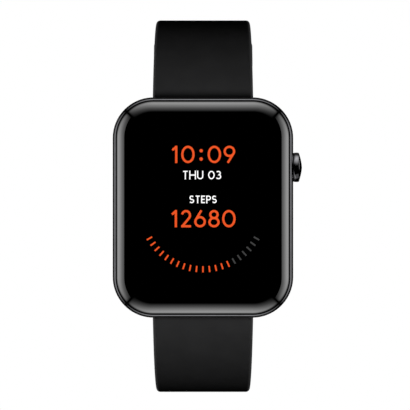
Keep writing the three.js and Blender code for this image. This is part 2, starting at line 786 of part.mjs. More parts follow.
function strapBand(half, hasTip) {
  const straightEnd = hasTip ? half.length - TIP.length : half.length;
  const count = Math.round(straightEnd / 4);
  const rings = [];
  for (let i = 0; i <= count; i++) rings.push(sectionAt(half, (straightEnd * i) / count));
  if (hasTip) {
    const furthest = Math.acos(TIP.narrowest);
    for (let i = 1; i <= TIP.rings; i++) {
      const angle = (furthest * i) / TIP.rings;
      rings.push(sectionAt(half, straightEnd + TIP.length * Math.sin(angle), Math.cos(angle)));
    }
  }
  return loft(rings);
}

function atStation(half, length, geometry) {
  return geometry.applyMatrix4(stationOn(half, length));
}

function rootBarrel() {
  return rodX(barrel, -STRAP.width / 2, STRAP.width / 2, axisY, axisZ, 28);
}

// The bore for the spring bar, and the notch on the wrist side where its lever shows.
function rootCuts(half) {
  const bore = rodX(BAR.tube + RUN, -STRAP.width, STRAP.width, axisY, axisZ, 20);
  const start = leverX - BAR.lever - ROOM;
  const end = leverX + BAR.leverTravel + BAR.lever + ROOM;
  const notch = block(start, end, -BAR.notchHalf, BAR.notchHalf, -STRAP.width, 0);
  return [bore, atStation(half, 0, notch)];
}

// ---------------------------------------------------------------- the spring bars

const tubeHalf = STRAP.width / 2 - FIT;
const tipReach = recessHalfWidth + BAR.reach;
const leverX = BAR.leverFromEnd - tubeHalf;

function springBar(prefix, half) {
  const bore = BAR.tube - BAR.wall;
  const pinEnd = leverX + BAR.lever + BAR.pinPast;
  const boreEnd = pinEnd + BAR_SPRING.length + 2 * SEAT;
  const slotHalf = BAR.lever + FIT;
  const slotEnd = leverX + BAR.leverTravel + slotHalf;
  const slot = block(leverX - slotHalf, slotEnd, -slotHalf, slotHalf, -BAR.leverHeight, 0);
  const inside = rodX(bore, -tubeHalf - PAST, boreEnd, 0, 0, 16);
  const tube = cut(rodX(BAR.tube, -tubeHalf, tubeHalf), inside, slot);
  const tip = rodX(BAR.tip, tubeHalf + SEAT, tipReach, 0, 0, 16);
  const lever = rodZ(BAR.lever - SEAT, -BAR.leverHeight, 0, leverX, 0, 16);
  const release = join(rodX(BAR.tip, -tipReach, pinEnd, 0, 0, 16), lever);
  const group = new THREE.Group();
  group.name = `${prefix}_bar_axis`;
  group.applyMatrix4(stationOn(half, 0));
  group.add(
    piece(`${prefix}_bar_tube`, "steel", tube),
    piece(`${prefix}_bar_tip`, "steel", tip),
    piece(`${prefix}_release_pin`, "steel", release),
    piece(`${prefix}_bar_spring`, "steel", barSpring(bore, pinEnd + SEAT)),
  );
  return group;
}

class Helix extends THREE.Curve {
  constructor(radius, turns, length) {
    super();
    Object.assign(this, { radius, turns, length });
  }

  getPoint(t, target = new THREE.Vector3()) {
    const angle = 2 * Math.PI * this.turns * t;
    return target.set(this.length * t, this.radius * Math.cos(angle), this.radius * Math.sin(angle));
  }
}

function barSpring(bore, start) {
  const section = new THREE.Shape().absarc(0, 0, BAR_SPRING.wire, 0, 2 * Math.PI);
  const { turns, length, wire } = BAR_SPRING;
  const path = new Helix(bore - wire - SEAT, turns, length);
  const options = { extrudePath: path, steps: turns * 7, curveSegments: 3, bevelEnabled: false };
  return new THREE.ExtrudeGeometry(section, options).translate(start, 0, 0);
}

// ---------------------------------------------------------------- the buckle and its keepers

function buckleFrame() {
  const innerHalf = UPPER.endWidth / 2 + STRAP.clearance;
  const outerHalf = innerHalf + BUCKLE.arm;
  const heel = BUCKLE.bar + BUCKLE.heel;
  const outline = roundedOutline(2 * outerHalf, BUCKLE.length + heel, BUCKLE.corner, 5);
  const halfThickness = BUCKLE.thickness / 2;
  const body = prism(outline, -halfThickness, halfThickness).translate(0, (BUCKLE.length - heel) / 2, 0);
  const mouthEnd = BUCKLE.length - BUCKLE.farBar;
  const mouth = block(-innerHalf, innerHalf, -heel - PAST, mouthEnd, -BUCKLE.thickness, BUCKLE.thickness);
  const boreHalf = outerHalf - BUCKLE.barCover;
  return cut(body, mouth, rodX(BUCKLE.bar + RUN, -boreHalf, boreHalf, 0, 0, 16));
}

// A ring round the buckle bar, and a prong that lies across the far bar.
function buckleTongue() {
  const { ring, thickness, width } = TONGUE;
  const rest = BUCKLE.thickness / 2 + FIT;
  const reach = BUCKLE.length + TONGUE.past;
  const side = new THREE.Shape();
  side.moveTo(0.2, ring - thickness);
  side.lineTo(reach * 0.5, rest + TONGUE.arch);
  side.lineTo(BUCKLE.length - BUCKLE.farBar - 2 * FIT, rest);
  side.lineTo(reach, rest);
  side.lineTo(reach, rest + thickness * TONGUE.tipShare);
  side.quadraticCurveTo(reach * 0.6, rest + thickness + TONGUE.crown, 0.2, ring);
  const options = { depth: width, bevelEnabled: false, curveSegments: 6 };
  const prong = new THREE.ExtrudeGeometry(side, options).translate(0, 0, -width / 2);
  prong.applyMatrix4(new THREE.Matrix4().makeBasis(
    new THREE.Vector3(0, 1, 0),
    new THREE.Vector3(0, 0, 1),
    new THREE.Vector3(1, 0, 0),
  ));
  const eye = rodX(ring, -width / 2, width / 2, 0, 0, 20);
  return cut(join(eye, prong), rodX(BUCKLE.bar + RUN, -width, width, 0, 0, 16));
}

// A square loop round the strap, with room over the strap's outer face for the other half's tail.
function keeper(name, length) {
  const innerHalf = widthAt(UPPER, length) / 2 + STRAP.clearance;
  const low = -thicknessAt(UPPER, length) / 2 - STRAP.clearance;
  const high = thicknessAt(UPPER, length) / 2 + STRAP.endThickness + 2 * STRAP.clearance;
  const { wall, corner, innerCorner } = KEEPER;
  const outer = roundedOutline(2 * (innerHalf + wall), high - low + 2 * wall, corner, 3);
  const inner = roundedOutline(2 * innerHalf, high - low, innerCorner, 2);
  const loop = prism(outer, -KEEPER.length / 2, KEEPER.length / 2, inner);
  const mesh = piece(name, "strap", loop.rotateX(Math.PI / 2).translate(0, 0, (low + high) / 2));
  mesh.applyMatrix4(stationOn(UPPER, length));
  return mesh;
}

function upperStrap() {
  const endBarrel = rodX(STRAP.endThickness / 2 + FIT, -UPPER.endWidth / 2, UPPER.endWidth / 2, 0, 0, 24);
  const barBore = rodX(BUCKLE.bar + RUN, -STRAP.width, STRAP.width, 0, 0, 16);
  const past = STRAP.rootThickness;
  const tongueSlot = block(-BUCKLE.slot / 2, BUCKLE.slot / 2, -BUCKLE.slotBack, past, -past, past);
  return cut(
    join(strapBand(UPPER, false), rootBarrel(), atStation(UPPER, UPPER.length, endBarrel)),
    ...rootCuts(UPPER),
    atStation(UPPER, UPPER.length, barBore),
    atStation(UPPER, UPPER.length, tongueSlot),
  );
}

function lowerStrap() {
  const holes = [];
  for (let i = 0; i < HOLES.count; i++) {
    const length = LOWER.length - HOLES.fromTip - i * HOLES.pitch;
    const through = rodZ(HOLES.radius, -STRAP.rootThickness, STRAP.rootThickness, 0, 0, 16);
    holes.push(atStation(LOWER, length, through));
  }
  return cut(join(strapBand(LOWER, true), rootBarrel()), ...rootCuts(LOWER), ...holes);
}

// The buckle hangs straight down from its bar.
function strapHalves() {
  const barHalf = UPPER.endWidth / 2 + STRAP.clearance + BUCKLE.arm - BUCKLE.barCover - FIT;
  const buckle = new THREE.Group();
  buckle.name = "buckle_axis";
  buckle.position.setFromMatrixPosition(stationOn(UPPER, UPPER.length));
  buckle.rotation.x = Math.PI;
  buckle.add(
    piece("buckle_frame", "gunmetal", buckleFrame()),
    piece("buckle_tongue", "gunmetal", buckleTongue()),
    piece("buckle_bar", "steel", rodX(BUCKLE.bar, -barHalf, barHalf, 0, 0, 16)),
  );
  const upper = new THREE.Group();
  upper.add(
    piece("upper_strap", "strap", upperStrap()),
    springBar("upper", UPPER),
    keeper("fixed_keeper", UPPER.length - KEEPER.fixedFromEnd),
    keeper("free_keeper", UPPER.length - KEEPER.freeFromEnd),
    buckle,
  );
  const wrapAxis = new THREE.Group();
  wrapAxis.name = "wrap_axis";
  wrapAxis.position.copy(wrapCentre(UPPER));
  upper.add(wrapAxis);

  const lower = new THREE.Group();
  lower.rotation.z = Math.PI;
  lower.add(piece("lower_strap", "strap", lowerStrap()), springBar("lower", LOWER));
  return [upper, lower];
}

// ---------------------------------------------------------------- the watch

function head() {
  const group = new THREE.Group();
  const { panel, backlight, backCorner } = DISPLAY;
  const backlightHeight = displayHeight / 2 + flexY - ROOM;
  const backlightBottom = backlightTop - backlight;
  const backlightPlate = slab(displayWidth, backlightHeight, backCorner, backlightBottom, backlightTop);
  const backlightY = (backlightHeight - displayHeight) / 2;
  const panelPlate = slab(displayWidth, displayHeight, DISPLAY.corner, panelTop - panel, panelTop);
  group.add(
    piece("case_body", "gunmetal", caseBody()),
    piece("cover_glass", "glass", coverGlass()),
    piece("glass_gasket", "gasket", glassGasket()),
    piece("display_panel", "panel", panelPlate),
    piece("display_backlight", "backing", backlightPlate.translate(0, backlightY, 0)),
    piece("display_flex", "flex", displayFlex()),
    ...internals(),
    ...sensorStack(),
    ...rearPieces(),
    ...crownSwitch(),
  );
  const crown = new THREE.Group();
  crown.name = "crown_axis";
  crown.position.set(0, crownY, crownZ);
  crown.rotation.y = Math.PI / 2;
  crown.add(...crownPieces());
  group.add(crown);
  return group;
}

const smartwatch = new THREE.Group();
smartwatch.add(head(), ...strapHalves());
smartwatch.rotation.x = Math.PI / 2;

export default smartwatch;
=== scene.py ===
"""The looks of the smartwatch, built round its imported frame. Metres: +X is three o'clock, +Z is twelve
o'clock, and the glass faces -Y."""

import json
import math

import bmesh
import bpy
from mathutils import Matrix, Vector


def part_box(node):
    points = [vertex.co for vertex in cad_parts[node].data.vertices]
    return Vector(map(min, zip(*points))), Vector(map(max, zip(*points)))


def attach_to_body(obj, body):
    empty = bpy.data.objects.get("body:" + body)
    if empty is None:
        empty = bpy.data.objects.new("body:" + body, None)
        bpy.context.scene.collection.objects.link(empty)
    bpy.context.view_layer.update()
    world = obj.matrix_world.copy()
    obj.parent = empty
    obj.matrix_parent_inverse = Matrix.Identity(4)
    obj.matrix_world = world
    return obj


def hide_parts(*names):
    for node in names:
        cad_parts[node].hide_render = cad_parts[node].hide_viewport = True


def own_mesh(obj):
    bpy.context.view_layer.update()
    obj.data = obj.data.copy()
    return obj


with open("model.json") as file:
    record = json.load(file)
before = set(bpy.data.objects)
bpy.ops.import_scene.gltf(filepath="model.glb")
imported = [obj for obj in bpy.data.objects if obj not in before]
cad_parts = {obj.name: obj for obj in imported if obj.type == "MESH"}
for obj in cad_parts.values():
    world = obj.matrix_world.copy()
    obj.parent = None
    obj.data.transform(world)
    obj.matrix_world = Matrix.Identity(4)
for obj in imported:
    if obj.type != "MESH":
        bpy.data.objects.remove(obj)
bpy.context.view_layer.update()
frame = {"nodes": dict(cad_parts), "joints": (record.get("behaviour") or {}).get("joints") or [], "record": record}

MM = 0.001

# ------------------------------------------------------------------ sizes, in millimetres


def box_mm(node):
    low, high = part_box(node)
    return low / MM, high / MM


def joint_mm(name):
    place = next(j["pos_m"] for j in frame["joints"] if j["name"] == name)
    return Vector(place) / MM


CASE_LOW, CASE_HIGH = box_mm("case_body")
GLASS_LOW, GLASS_HIGH = box_mm("cover_glass")
COVER_LOW, COVER_HIGH = box_mm("rear_cover")
LENS_LOW, LENS_HIGH = box_mm("sensor_lens")
CROWN_LOW, CROWN_HIGH = box_mm("crown_cap")
PANEL_LOW, PANEL_HIGH = box_mm("display_panel")
UPPER_BAR = joint_mm("upper_strap_swing")
LOWER_BAR = joint_mm("lower_strap_swing")
BUCKLE_BAR = joint_mm("buckle_swing")
WRAP_CENTRE = joint_mm("keeper_slide")

CASE_CORNER = 8
LIP_WIDTH = 0.74
LIP_BEAD = 3.2
LIP_INSET = 0.68
GLASS_CORNER = CASE_CORNER - 0.8
GLASS_ROLL = 2.6
GLASS_EDGE = 0.85
GLASS_DRAFT = 0.05
GLASS_SEAM = 0.005  # between the lens's clear centre and its printed rim
BORDER_WINDOW = (27.6, 33.8, 4)  # width, height and corner of the window in the printed border
BAY = (29.8, 30.4, 5)  # width, height and corner of the hollow for the battery and the board
BAY_ROOF = 6.7
DISPLAY_INSET = 2.2  # from the case's side in to the display's recess
DISPLAY_FLOOR = 6.65
REAR_POCKET = (31.4, 32, 4)
REAR_POCKET_ROOF = 2.8
BAR_HOLE = 0.52
BAR_HOLE_REACH = 11.6
BUCKLE_BORE = 0.7
KEEPER_HALF_LENGTH = 2.5
KEEPER_WALL = 1.0
KEEPER_ROUND = 0.4
KEEPER_GAP = 0.3
FIXED_KEEPER_FROM_END = 6.2
FREE_KEEPER_FROM_END = 14.8
HOLE_COUNT = 8
HOLE_PITCH = 6.5
FIRST_HOLE_FROM_END = 15
BUCKLE_ARM = 1.5
BUCKLE_CORNER = 2.4
SPRING_WIRE = 0.09
SPRING_TURNS = 5
FLOOR_CLEARANCE = 5
LEDGE_OUT = 8.05
RECESS_HALF = 10.1
RECESS_ROOF = 5.85
RECESS_START = 17.3
CROWN_WELL = 17.05

STRAP_WIDTH = 19.85
STRAP_ROOT = 3.0
STRAP_END = 2.2
STRAP_EDGE = 0.75
EMERGES = math.radians(18)


# ------------------------------------------------------------------ meshes


def dial(x, up, out):
    """A point from the dial's own axes: x to three o'clock, up to twelve, out through the glass."""
    return Vector((x, -out, up))


def piece(name, points, faces, material, body, slot, stands_for=(), sharp=30):
    """A mesh from points in millimetres, riding on a body of the frame."""
    mesh = bpy.data.meshes.new(name)
    mesh.from_pydata([Vector(p) * MM for p in points], [], faces)
    return dress(name, mesh, material, body, stands_for, sharp)


def dress(name, mesh, material, body, stands_for=(), sharp=30):
    work = bmesh.new()
    work.from_mesh(mesh)
    bmesh.ops.remove_doubles(work, verts=work.verts, dist=1e-7)
    bmesh.ops.recalc_face_normals(work, faces=work.faces)
    work.to_mesh(mesh)
    work.free()
    mesh.name = name
    mesh.polygons.foreach_set("use_smooth", [True] * len(mesh.polygons))
    mesh.set_sharp_from_angle(angle=math.radians(sharp))
    mesh.materials.clear()
    mesh.materials.append(material)
    shown = bpy.data.objects.new(name, mesh)
    bpy.context.scene.collection.objects.link(shown)
    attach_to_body(shown, body)
    if stands_for:
        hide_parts(*stands_for)
    return shown


def rounded_rectangle(width, height, radius, steps=12):
    """Points round a rounded rectangle, counter-clockwise."""
    points = []
    for quarter, (side_x, side_y) in enumerate([(1, 1), (-1, 1), (-1, -1), (1, -1)]):
        for i in range(steps + 1):
            angle = math.radians(90 * (quarter + i / steps))
            x = side_x * (width / 2 - radius) + radius * math.cos(angle)
            y = side_y * (height / 2 - radius) + radius * math.sin(angle)
            points.append((x, y))
    return points


def loft(rings, closed=False):
    """Quads between rings of equal length, with a cap on each end unless the rings close on themselves."""
    count = len(rings[0])
    points = [p for ring in rings for p in ring]
    faces = []
    spans = len(rings) if closed else len(rings) - 1
    for r in range(spans):
        for i in range(count):
            a = r * count + i
            b = r * count + (i + 1) % count
            c = (r + 1) % len(rings) * count + (i + 1) % count
            d = (r + 1) % len(rings) * count + i
            faces.append((a, b, c, d))
    if not closed:
        faces.append(tuple(reversed(range(count))))
        faces.append(tuple((len(rings) - 1) * count + i for i in range(count)))
    return points, faces


def plate(width, height, radius, levels, steps=12):
    """A rounded-rectangle body lofted through [out, inset] levels."""
    rings = []
    for out, inset in levels:
        outline = rounded_rectangle(width - 2 * inset, height - 2 * inset, radius - inset, steps)
        rings.append([dial(x, up, out) for x, up in outline])
    return loft(rings)


def lathe(profile, place, sides=64):
    """A solid of revolution from [radius, distance] points, turned about place's third axis."""
    rings = []
    for radius, distance in profile:
        ring = []
        for i in range(sides):
            angle = 2 * math.pi * i / sides
            ring.append(place @ Vector((radius * math.cos(angle), radius * math.sin(angle), distance)))
        rings.append(ring)
    return loft(rings)


def mesh_of(points, faces):
    mesh = bpy.data.meshes.new("part")
    mesh.from_pydata([Vector(p) for p in points], [], faces)
    work = bmesh.new()
    work.from_mesh(mesh)
    bmesh.ops.remove_doubles(work, verts=work.verts, dist=1e-5)
    bmesh.ops.recalc_face_normals(work, faces=work.faces)
    work.to_mesh(mesh)
    work.free()
    return mesh


def combine(body, others, operation):
    """The body with the other solids cut from it or joined to it."""
    base = bpy.data.objects.new("base", mesh_of(*body))
    bpy.context.scene.collection.objects.link(base)
    helpers = []
    for other in others:
        helper = bpy.data.objects.new("helper", mesh_of(*other))
        bpy.context.scene.collection.objects.link(helper)
        step = base.modifiers.new("step", "BOOLEAN")
        step.operation = operation
        step.solver = "EXACT"
        step.object = helper
        helpers.append(helper)
    graph = bpy.context.evaluated_depsgraph_get()
    result = bpy.data.meshes.new_from_object(base.evaluated_get(graph))
    for helper in [base, *helpers]:
        bpy.data.objects.remove(helper)
    points = [v.co.copy() for v in result.vertices]
    faces = [tuple(p.vertices) for p in result.polygons]
    return points, faces


def carve(body, *cutters):
    return combine(body, cutters, "DIFFERENCE")


def weld(body, *others):
    return combine(body, others, "UNION")


def block(low, high):
    corners = [(x, y, z) for x in (low[0], high[0]) for y in (low[1], high[1]) for z in (low[2], high[2])]
    faces = [(0, 1, 3, 2), (4, 6, 7, 5), (0, 4, 5, 1), (2, 3, 7, 6), (0, 2, 6, 4), (1, 5, 7, 3)]
    return [Vector(c) for c in corners], faces


def along_x(y, z):
    """Turns a lathe's axis to +X, through a point of the YZ plane."""
    return Matrix.Translation((0, y, z)) @ Matrix.Rotation(math.radians(90), 4, "Y")


def outward(x, z):
    """Turns a lathe's axis to point out through the glass, over a point of the dial."""
    return Matrix.Translation((x, 0, z)) @ Matrix.Rotation(math.radians(90), 4, "X")


def rod(radius, start, end, place, sides=32):
    return lathe([(radius, start), (radius, end)], place, sides)


# ------------------------------------------------------------------ materials


def shader(name, **values):
    """A Principled material with uniform values on its own sockets."""
    material = bpy.data.materials.new(name)
    material.use_nodes = True
    principled = material.node_tree.nodes["Principled BSDF"]
    for key, value in values.items():
        socket = principled.inputs[key.replace("_", " ").title().replace("Ior", "IOR")]
        socket.default_value = (*value, 1) if isinstance(value, tuple) else value
    return material


def node(material, kind, inputs=None, **settings):
    made = material.node_tree.nodes.new(kind)
    for key, value in settings.items():
        setattr(made, key, value)
    for key, value in (inputs or {}).items():
        if isinstance(value, bpy.types.NodeSocket):
            material.node_tree.links.new(value, made.inputs[key])
        else:
            made.inputs[key].default_value = value
    return made


def noise(material, scale, detail=4, stretch=(1, 1, 1)):
    """Noise over the piece's own coordinates; scale is in features to the metre."""
    coordinates = node(material, "ShaderNodeTexCoord").outputs["Object"]
    mapping = node(material, "ShaderNodeMapping", {"Vector": coordinates, "Scale": stretch})
    values = {"Vector": mapping.outputs["Vector"], "Scale": scale, "Detail": detail}
    return node(material, "ShaderNodeTexNoise", values).outputs["Fac"]


def ranged(material, source, low, high, start=0.3, end=0.7):
    values = {"Value": source, "From Min": start, "From Max": end, "To Min": low, "To Max": high}
    return node(material, "ShaderNodeMapRange", values).outputs["Result"]


def attach(material, socket, source):
    material.node_tree.links.new(source, material.node_tree.nodes["Principled BSDF"].inputs[socket])


def bump(material, source, height, strength=1.0, rounded=0.0):
    """Relief of a height in millimetres, over edges rounded by a radius in millimetres."""
    values = {"Height": source, "Distance": height * MM, "Strength": strength}
    if rounded:
        soft = node(material, "ShaderNodeBevel", {"Radius": rounded * MM}, samples=6)
        values["Normal"] = soft.outputs["Normal"]
    attach(material, "Normal", node(material, "ShaderNodeBump", values).outputs["Normal"])


def two_tone(material, source, dark, light):
    ramp = node(material, "ShaderNodeValToRGB", {"Fac": source})
    ramp.color_ramp.elements[0].position = 0.3
    ramp.color_ramp.elements[0].color = (*dark, 1)
    ramp.color_ramp.elements[1].position = 0.7
    ramp.color_ramp.elements[1].color = (*light, 1)
    attach(material, "Base Color", ramp.outputs["Color"])


def polished_metal(name, dark, light, smooth, rough, rounded=0.12):
    """Dark polished metal: faint cloudy wear in its gloss, and fine wiping marks."""
    material = shader(name, metallic=1.0, roughness=smooth)
    two_tone(material, noise(material, 900, 3), dark, light)
    attach(material, "Roughness", ranged(material, noise(material, 700, 6, (1, 1, 3)), smooth, rough))
    bump(material, noise(material, 30000, 2, (1, 1, 0.1)), 0.0004, 0.6, rounded)
    return material


def turned_steel(name, color, rough):
    """Bright turned steel with fine lathe marks."""
    material = shader(name, metallic=1.0, roughness=rough)
    lighter = tuple(min(1, c * 1.15) for c in color)
    two_tone(material, noise(material, 2500, 4), color, lighter)
    attach(material, "Roughness", ranged(material, noise(material, 4000, 4), rough * 0.8, rough * 1.3))
    bump(material, noise(material, 9000, 3, (1, 6, 6)), 0.004, 0.5, 0.05)
    return material


def moulded(name, dark, light, rough, grain=0.006, scale=9000, rounded=0.1, **values):
    """Moulded plastic or rubber: a fine even grain, with slight variation in tone and sheen."""
    material = shader(name, roughness=rough, **values)
    two_tone(material, noise(material, 300, 5), dark, light)
    attach(material, "Roughness", ranged(material, noise(material, 1200, 5), rough * 0.88, rough * 1.1))
    bump(material, noise(material, scale, 3), grain, 0.7, rounded)
    return material


def clear_glass(name, rough):
    """Coated lens glass, with a trace of finger smear in its gloss."""
    material = shader(name, base_color=(1, 1, 1), transmission_weight=1.0, roughness=rough, ior=1.5)
    attach(material, "Roughness", ranged(material, noise(material, 150, 6), rough, rough * 2.5))
    bump(material, noise(material, 40, 2), 0.0005, 0.2)
    return material


def screen_light(name, strength):
    """Lit pixels, coloured by the Glow attribute, with the fine dark grid of a display."""
    material = shader(name, base_color=(0.002, 0.002, 0.002), roughness=0.3)
    glow = node(material, "ShaderNodeVertexColor", layer_name="Glow").outputs["Color"]
    grid = ranged(material, noise(material, 4000, 1), 0.9, 1.0)
    mixed = {0: 1.0, 6: glow, 7: grid}
    shaded = node(material, "ShaderNodeMix", mixed, data_type="RGBA", blend_type="MULTIPLY")
    attach(material, "Emission Color", shaded.outputs[2])
    material.node_tree.nodes["Principled BSDF"].inputs["Emission Strength"].default_value = strength
    return material


BLACK_METAL = polished_metal("black_metal", (0.042, 0.042, 0.044), (0.05, 0.05, 0.053), 0.05, 0.1, 0.05)
CROWN_METAL = polished_metal("crown_metal", (0.055, 0.055, 0.057), (0.065, 0.065, 0.068), 0.06, 0.12, 0.05)
BUCKLE_METAL = polished_metal("buckle_metal", (0.07, 0.07, 0.073), (0.095, 0.095, 0.1), 0.12, 0.2)
STEEL = turned_steel("steel", (0.45, 0.455, 0.46), 0.28)
GOLD = turned_steel("gold", (0.76, 0.5, 0.2), 0.2)
MAGNET = turned_steel("magnet", (0.4, 0.4, 0.41), 0.25)
FOIL = turned_steel("foil", (0.5, 0.51, 0.53), 0.4)
LENS_GLASS = clear_glass("lens_glass", 0.008)
SILICONE = moulded("silicone", (0.024, 0.024, 0.0245), (0.028, 0.028, 0.0285), 0.55, specular_ior_level=0.3)
COVER_PLASTIC = moulded("cover_plastic", (0.018, 0.018, 0.019), (0.024, 0.024, 0.025), 0.42, 0.004)
WINDOW_PLASTIC = moulded("window_plastic", (0.004, 0.004, 0.005), (0.006, 0.006, 0.007), 0.06, 0.0004)
DARK_MOULDING = moulded("dark_moulding", (0.012, 0.012, 0.013), (0.02, 0.02, 0.021), 0.6)
DARKEST, DARK = (0.001, 0.001, 0.001), (0.0014, 0.0014, 0.0014)
PANEL = moulded("panel", DARKEST, DARK, 0.35, 0.0005, specular_ior_level=0.02)
PRINTED_GLASS = moulded("printed_glass", DARKEST, DARK, 0.01, 0.0002, 500, 0)
INK = moulded("ink", DARKEST, DARK, 0.6, 0.0005, specular_ior_level=0.02)
BOARD = moulded("board", (0.01, 0.05, 0.03), (0.02, 0.09, 0.05), 0.45, 0.02, 1500)
FLEX = moulded("flex", (0.35, 0.13, 0.03), (0.45, 0.18, 0.05), 0.4, 0.004)
BLASTED = moulded("blasted", (0.012, 0.012, 0.013), (0.016, 0.016, 0.017), 0.6, specular_ior_level=0.02)
SEAL = moulded("seal", (0.012, 0.012, 0.012), (0.018, 0.018, 0.018), 0.7)
CHIP = moulded("chip", (0.45, 0.55, 0.35), (0.6, 0.7, 0.5), 0.25, 0.001)
SCREEN_LIGHT = screen_light("screen_light", 1.0)

FINISH_OF_SLOT = {
    "polished_case": BLACK_METAL,
    "cover_glass": LENS_GLASS,
    "polished_buckle": BUCKLE_METAL,
    "silicone": SILICONE,
    "rear_cover": COVER_PLASTIC,
    "sensor_window": WINDOW_PLASTIC,
    "display": PANEL,
    "steel": STEEL,
    "magnet": MAGNET,
    "gold": GOLD,
    "bright_metal": FOIL,
    "moulding": DARK_MOULDING,
    "circuit_board": BOARD,
    "flex": FLEX,
    "pouch_cell": FOIL,
    "seal": SEAL,
    "chips": CHIP,
}


def finish_frame_nodes():
    """Each node of the frame that stays gets its slot's finish and a smooth surface."""
    for sub in frame["record"]["subparts"]:
        shown = frame["nodes"][sub["node"]]
        shown.data.materials.clear()
        shown.data.materials.append(FINISH_OF_SLOT[sub["material_slot"]])
        shown.data.polygons.foreach_set("use_smooth", [True] * len(shown.data.polygons))
        shown.data.set_sharp_from_angle(angle=math.radians(35))


# ------------------------------------------------------------------ the head


def case_levels():
    """The side of the case: a soft belly that rolls in at the rear, and a full bead at the front lip."""
    rear, lip = -CASE_HIGH.y, -CASE_LOW.y
    levels = [(rear, 1.3), (rear, 1.1)]
    for i in range(1, 11):
        angle = math.radians(9 * i)
        levels.append((rear + 2.8 * (1 - math.cos(angle)), 1.1 * (1 - math.sin(angle))))
    bead = LIP_BEAD
    for i in range(15):
        angle = math.radians(90 * i / 14)
        levels.append((lip - bead * (1 - math.sin(angle)), LIP_INSET * (1 - math.cos(angle))))
    return levels


def case_shell():
    """The polished case; its rear edge and the roofs of its recesses are blasted matt."""
    width, height = CASE_HIGH.x - CASE_LOW.x, CASE_HIGH.z - CASE_LOW.z
    outer = plate(width, height, CASE_CORNER, case_levels(), 20)
    lip = -CASE_LOW.y
    pocket = plate(
        width - 2 * LIP_WIDTH,
        height - 2 * LIP_WIDTH,
        CASE_CORNER - LIP_WIDTH,
        [(LEDGE_OUT, 0), (lip - 0.1, 0), (lip + 0.2, -0.15)],
        20,
    )
    bay = plate(*BAY, [(0, 0), (BAY_ROOF, 0)])
    display_bay = plate(
        width - 2 * DISPLAY_INSET,
        height - 2 * DISPLAY_INSET,
        CASE_CORNER - DISPLAY_INSET,
        [(DISPLAY_FLOOR, 0), (LEDGE_OUT + 0.1, 0)],
    )
    rear_pocket = plate(*REAR_POCKET, [(0, 0), (REAR_POCKET_ROOF, 0)])
    recesses = []
    for side in (1, -1):
        near, far = sorted((side * RECESS_START, side * 30))
        recesses.append(block((-RECESS_HALF, -RECESS_ROOF, near), (RECESS_HALF, 0, far)))
        across = along_x(UPPER_BAR.y, side * UPPER_BAR.z)
        recesses.append(rod(BAR_HOLE, -BAR_HOLE_REACH, BAR_HOLE_REACH, across, 20))
    crown_y, crown_z = (CROWN_LOW.y + CROWN_HIGH.y) / 2, (CROWN_LOW.z + CROWN_HIGH.z) / 2
    bore = (CROWN_HIGH.z - CROWN_LOW.z) / 2
    well = lathe(
        [(bore + 0.15, CROWN_WELL), (bore + 0.15, CASE_HIGH.x - 0.1), (bore + 0.45, CASE_HIGH.x + 0.2)],
        along_x(crown_y, crown_z),
    )
    shaped = carve(outer, pocket, display_bay, bay, rear_pocket, *recesses, well)
    shown = piece("case_shell", *shaped, BLACK_METAL, "head", "polished_case", ["case_body"], 34)
    shown.data.materials.append(BLASTED)
    for face in shown.data.polygons:
        if face.normal.y > 0.95:
            face.material_index = 1


def front_glass():
    """The lens: a rolled edge printed black on the inside, round a clear flat centre."""
    width, height = GLASS_HIGH.x - GLASS_LOW.x, GLASS_HIGH.z - GLASS_LOW.z
    bottom, top = -GLASS_HIGH.y, -GLASS_LOW.y
    rise = top - bottom - GLASS_EDGE
    levels = [(bottom, 0), (bottom + GLASS_EDGE * 0.6, 0), (bottom + GLASS_EDGE * 0.95, GLASS_DRAFT * 0.6)]
    for i in range(31):
        angle = math.radians(3 * i)
        roll = (GLASS_ROLL - GLASS_DRAFT) * (1 - math.cos(angle))
        levels.append((top - rise * (1 - math.sin(angle)), GLASS_DRAFT + roll))
    lens = plate(width, height, GLASS_CORNER, levels, 20)
    flat = (width - 2 * GLASS_ROLL, height - 2 * GLASS_ROLL, GLASS_CORNER - GLASS_ROLL)
    rim = carve(lens, plate(*flat, [(bottom - 1, 0), (top + 1, 0)], 20))
    piece("front_glass", *rim, PRINTED_GLASS, "head", "cover_glass", ["cover_glass"], 60)
    centre = plate(*flat, [(bottom, GLASS_SEAM), (top, GLASS_SEAM)], 20)
    piece("clear_centre", *centre, LENS_GLASS, "head", "cover_glass")


def glass_border():
    """The black border printed on the back of the glass, round the display."""
    width, height = GLASS_HIGH.x - GLASS_LOW.x, GLASS_HIGH.z - GLASS_LOW.z
    back = -GLASS_HIGH.y
    outer = plate(width, height, GLASS_CORNER, [(back - 0.03, 0), (back - 0.01, 0)], 16)
    window = plate(*BORDER_WINDOW, [(back - 0.1, 0), (back + 0.1, 0)], 16)
    piece("glass_border", *carve(outer, window), INK, "head", "cover_glass")


def crown_knob():
    radius = (CROWN_HIGH.z - CROWN_LOW.z) / 2
    inner, outer = CROWN_LOW.x, CROWN_HIGH.x
    place = along_x((CROWN_LOW.y + CROWN_HIGH.y) / 2, (CROWN_LOW.z + CROWN_HIGH.z) / 2)
    shoulder = outer - 0.52
    profile = [(0.7, inner + 0.3), (0.7, inner), (radius - 0.35, inner), (radius - 0.12, inner + 0.1)]
    profile += [(radius - 0.04, inner + 0.35), (radius, inner + 0.8), (radius - 0.02, shoulder - 0.33)]
    for i in range(1, 13):
        angle = math.radians(90 * i / 12)
        profile.append((radius - 0.32 * (1 - math.cos(angle)) - 0.02, shoulder - 0.3 + 0.3 * math.sin(angle)))
    for i in range(1, 21):
        share = 1 - i / 20
        profile.append(((radius - 0.34) * share + 0.001, shoulder + 0.52 * (1 - share**1.6)))
    piece("crown_knob", *lathe(profile, place, 96), CROWN_METAL, "crown", "polished_case", ["crown_cap"], 40)


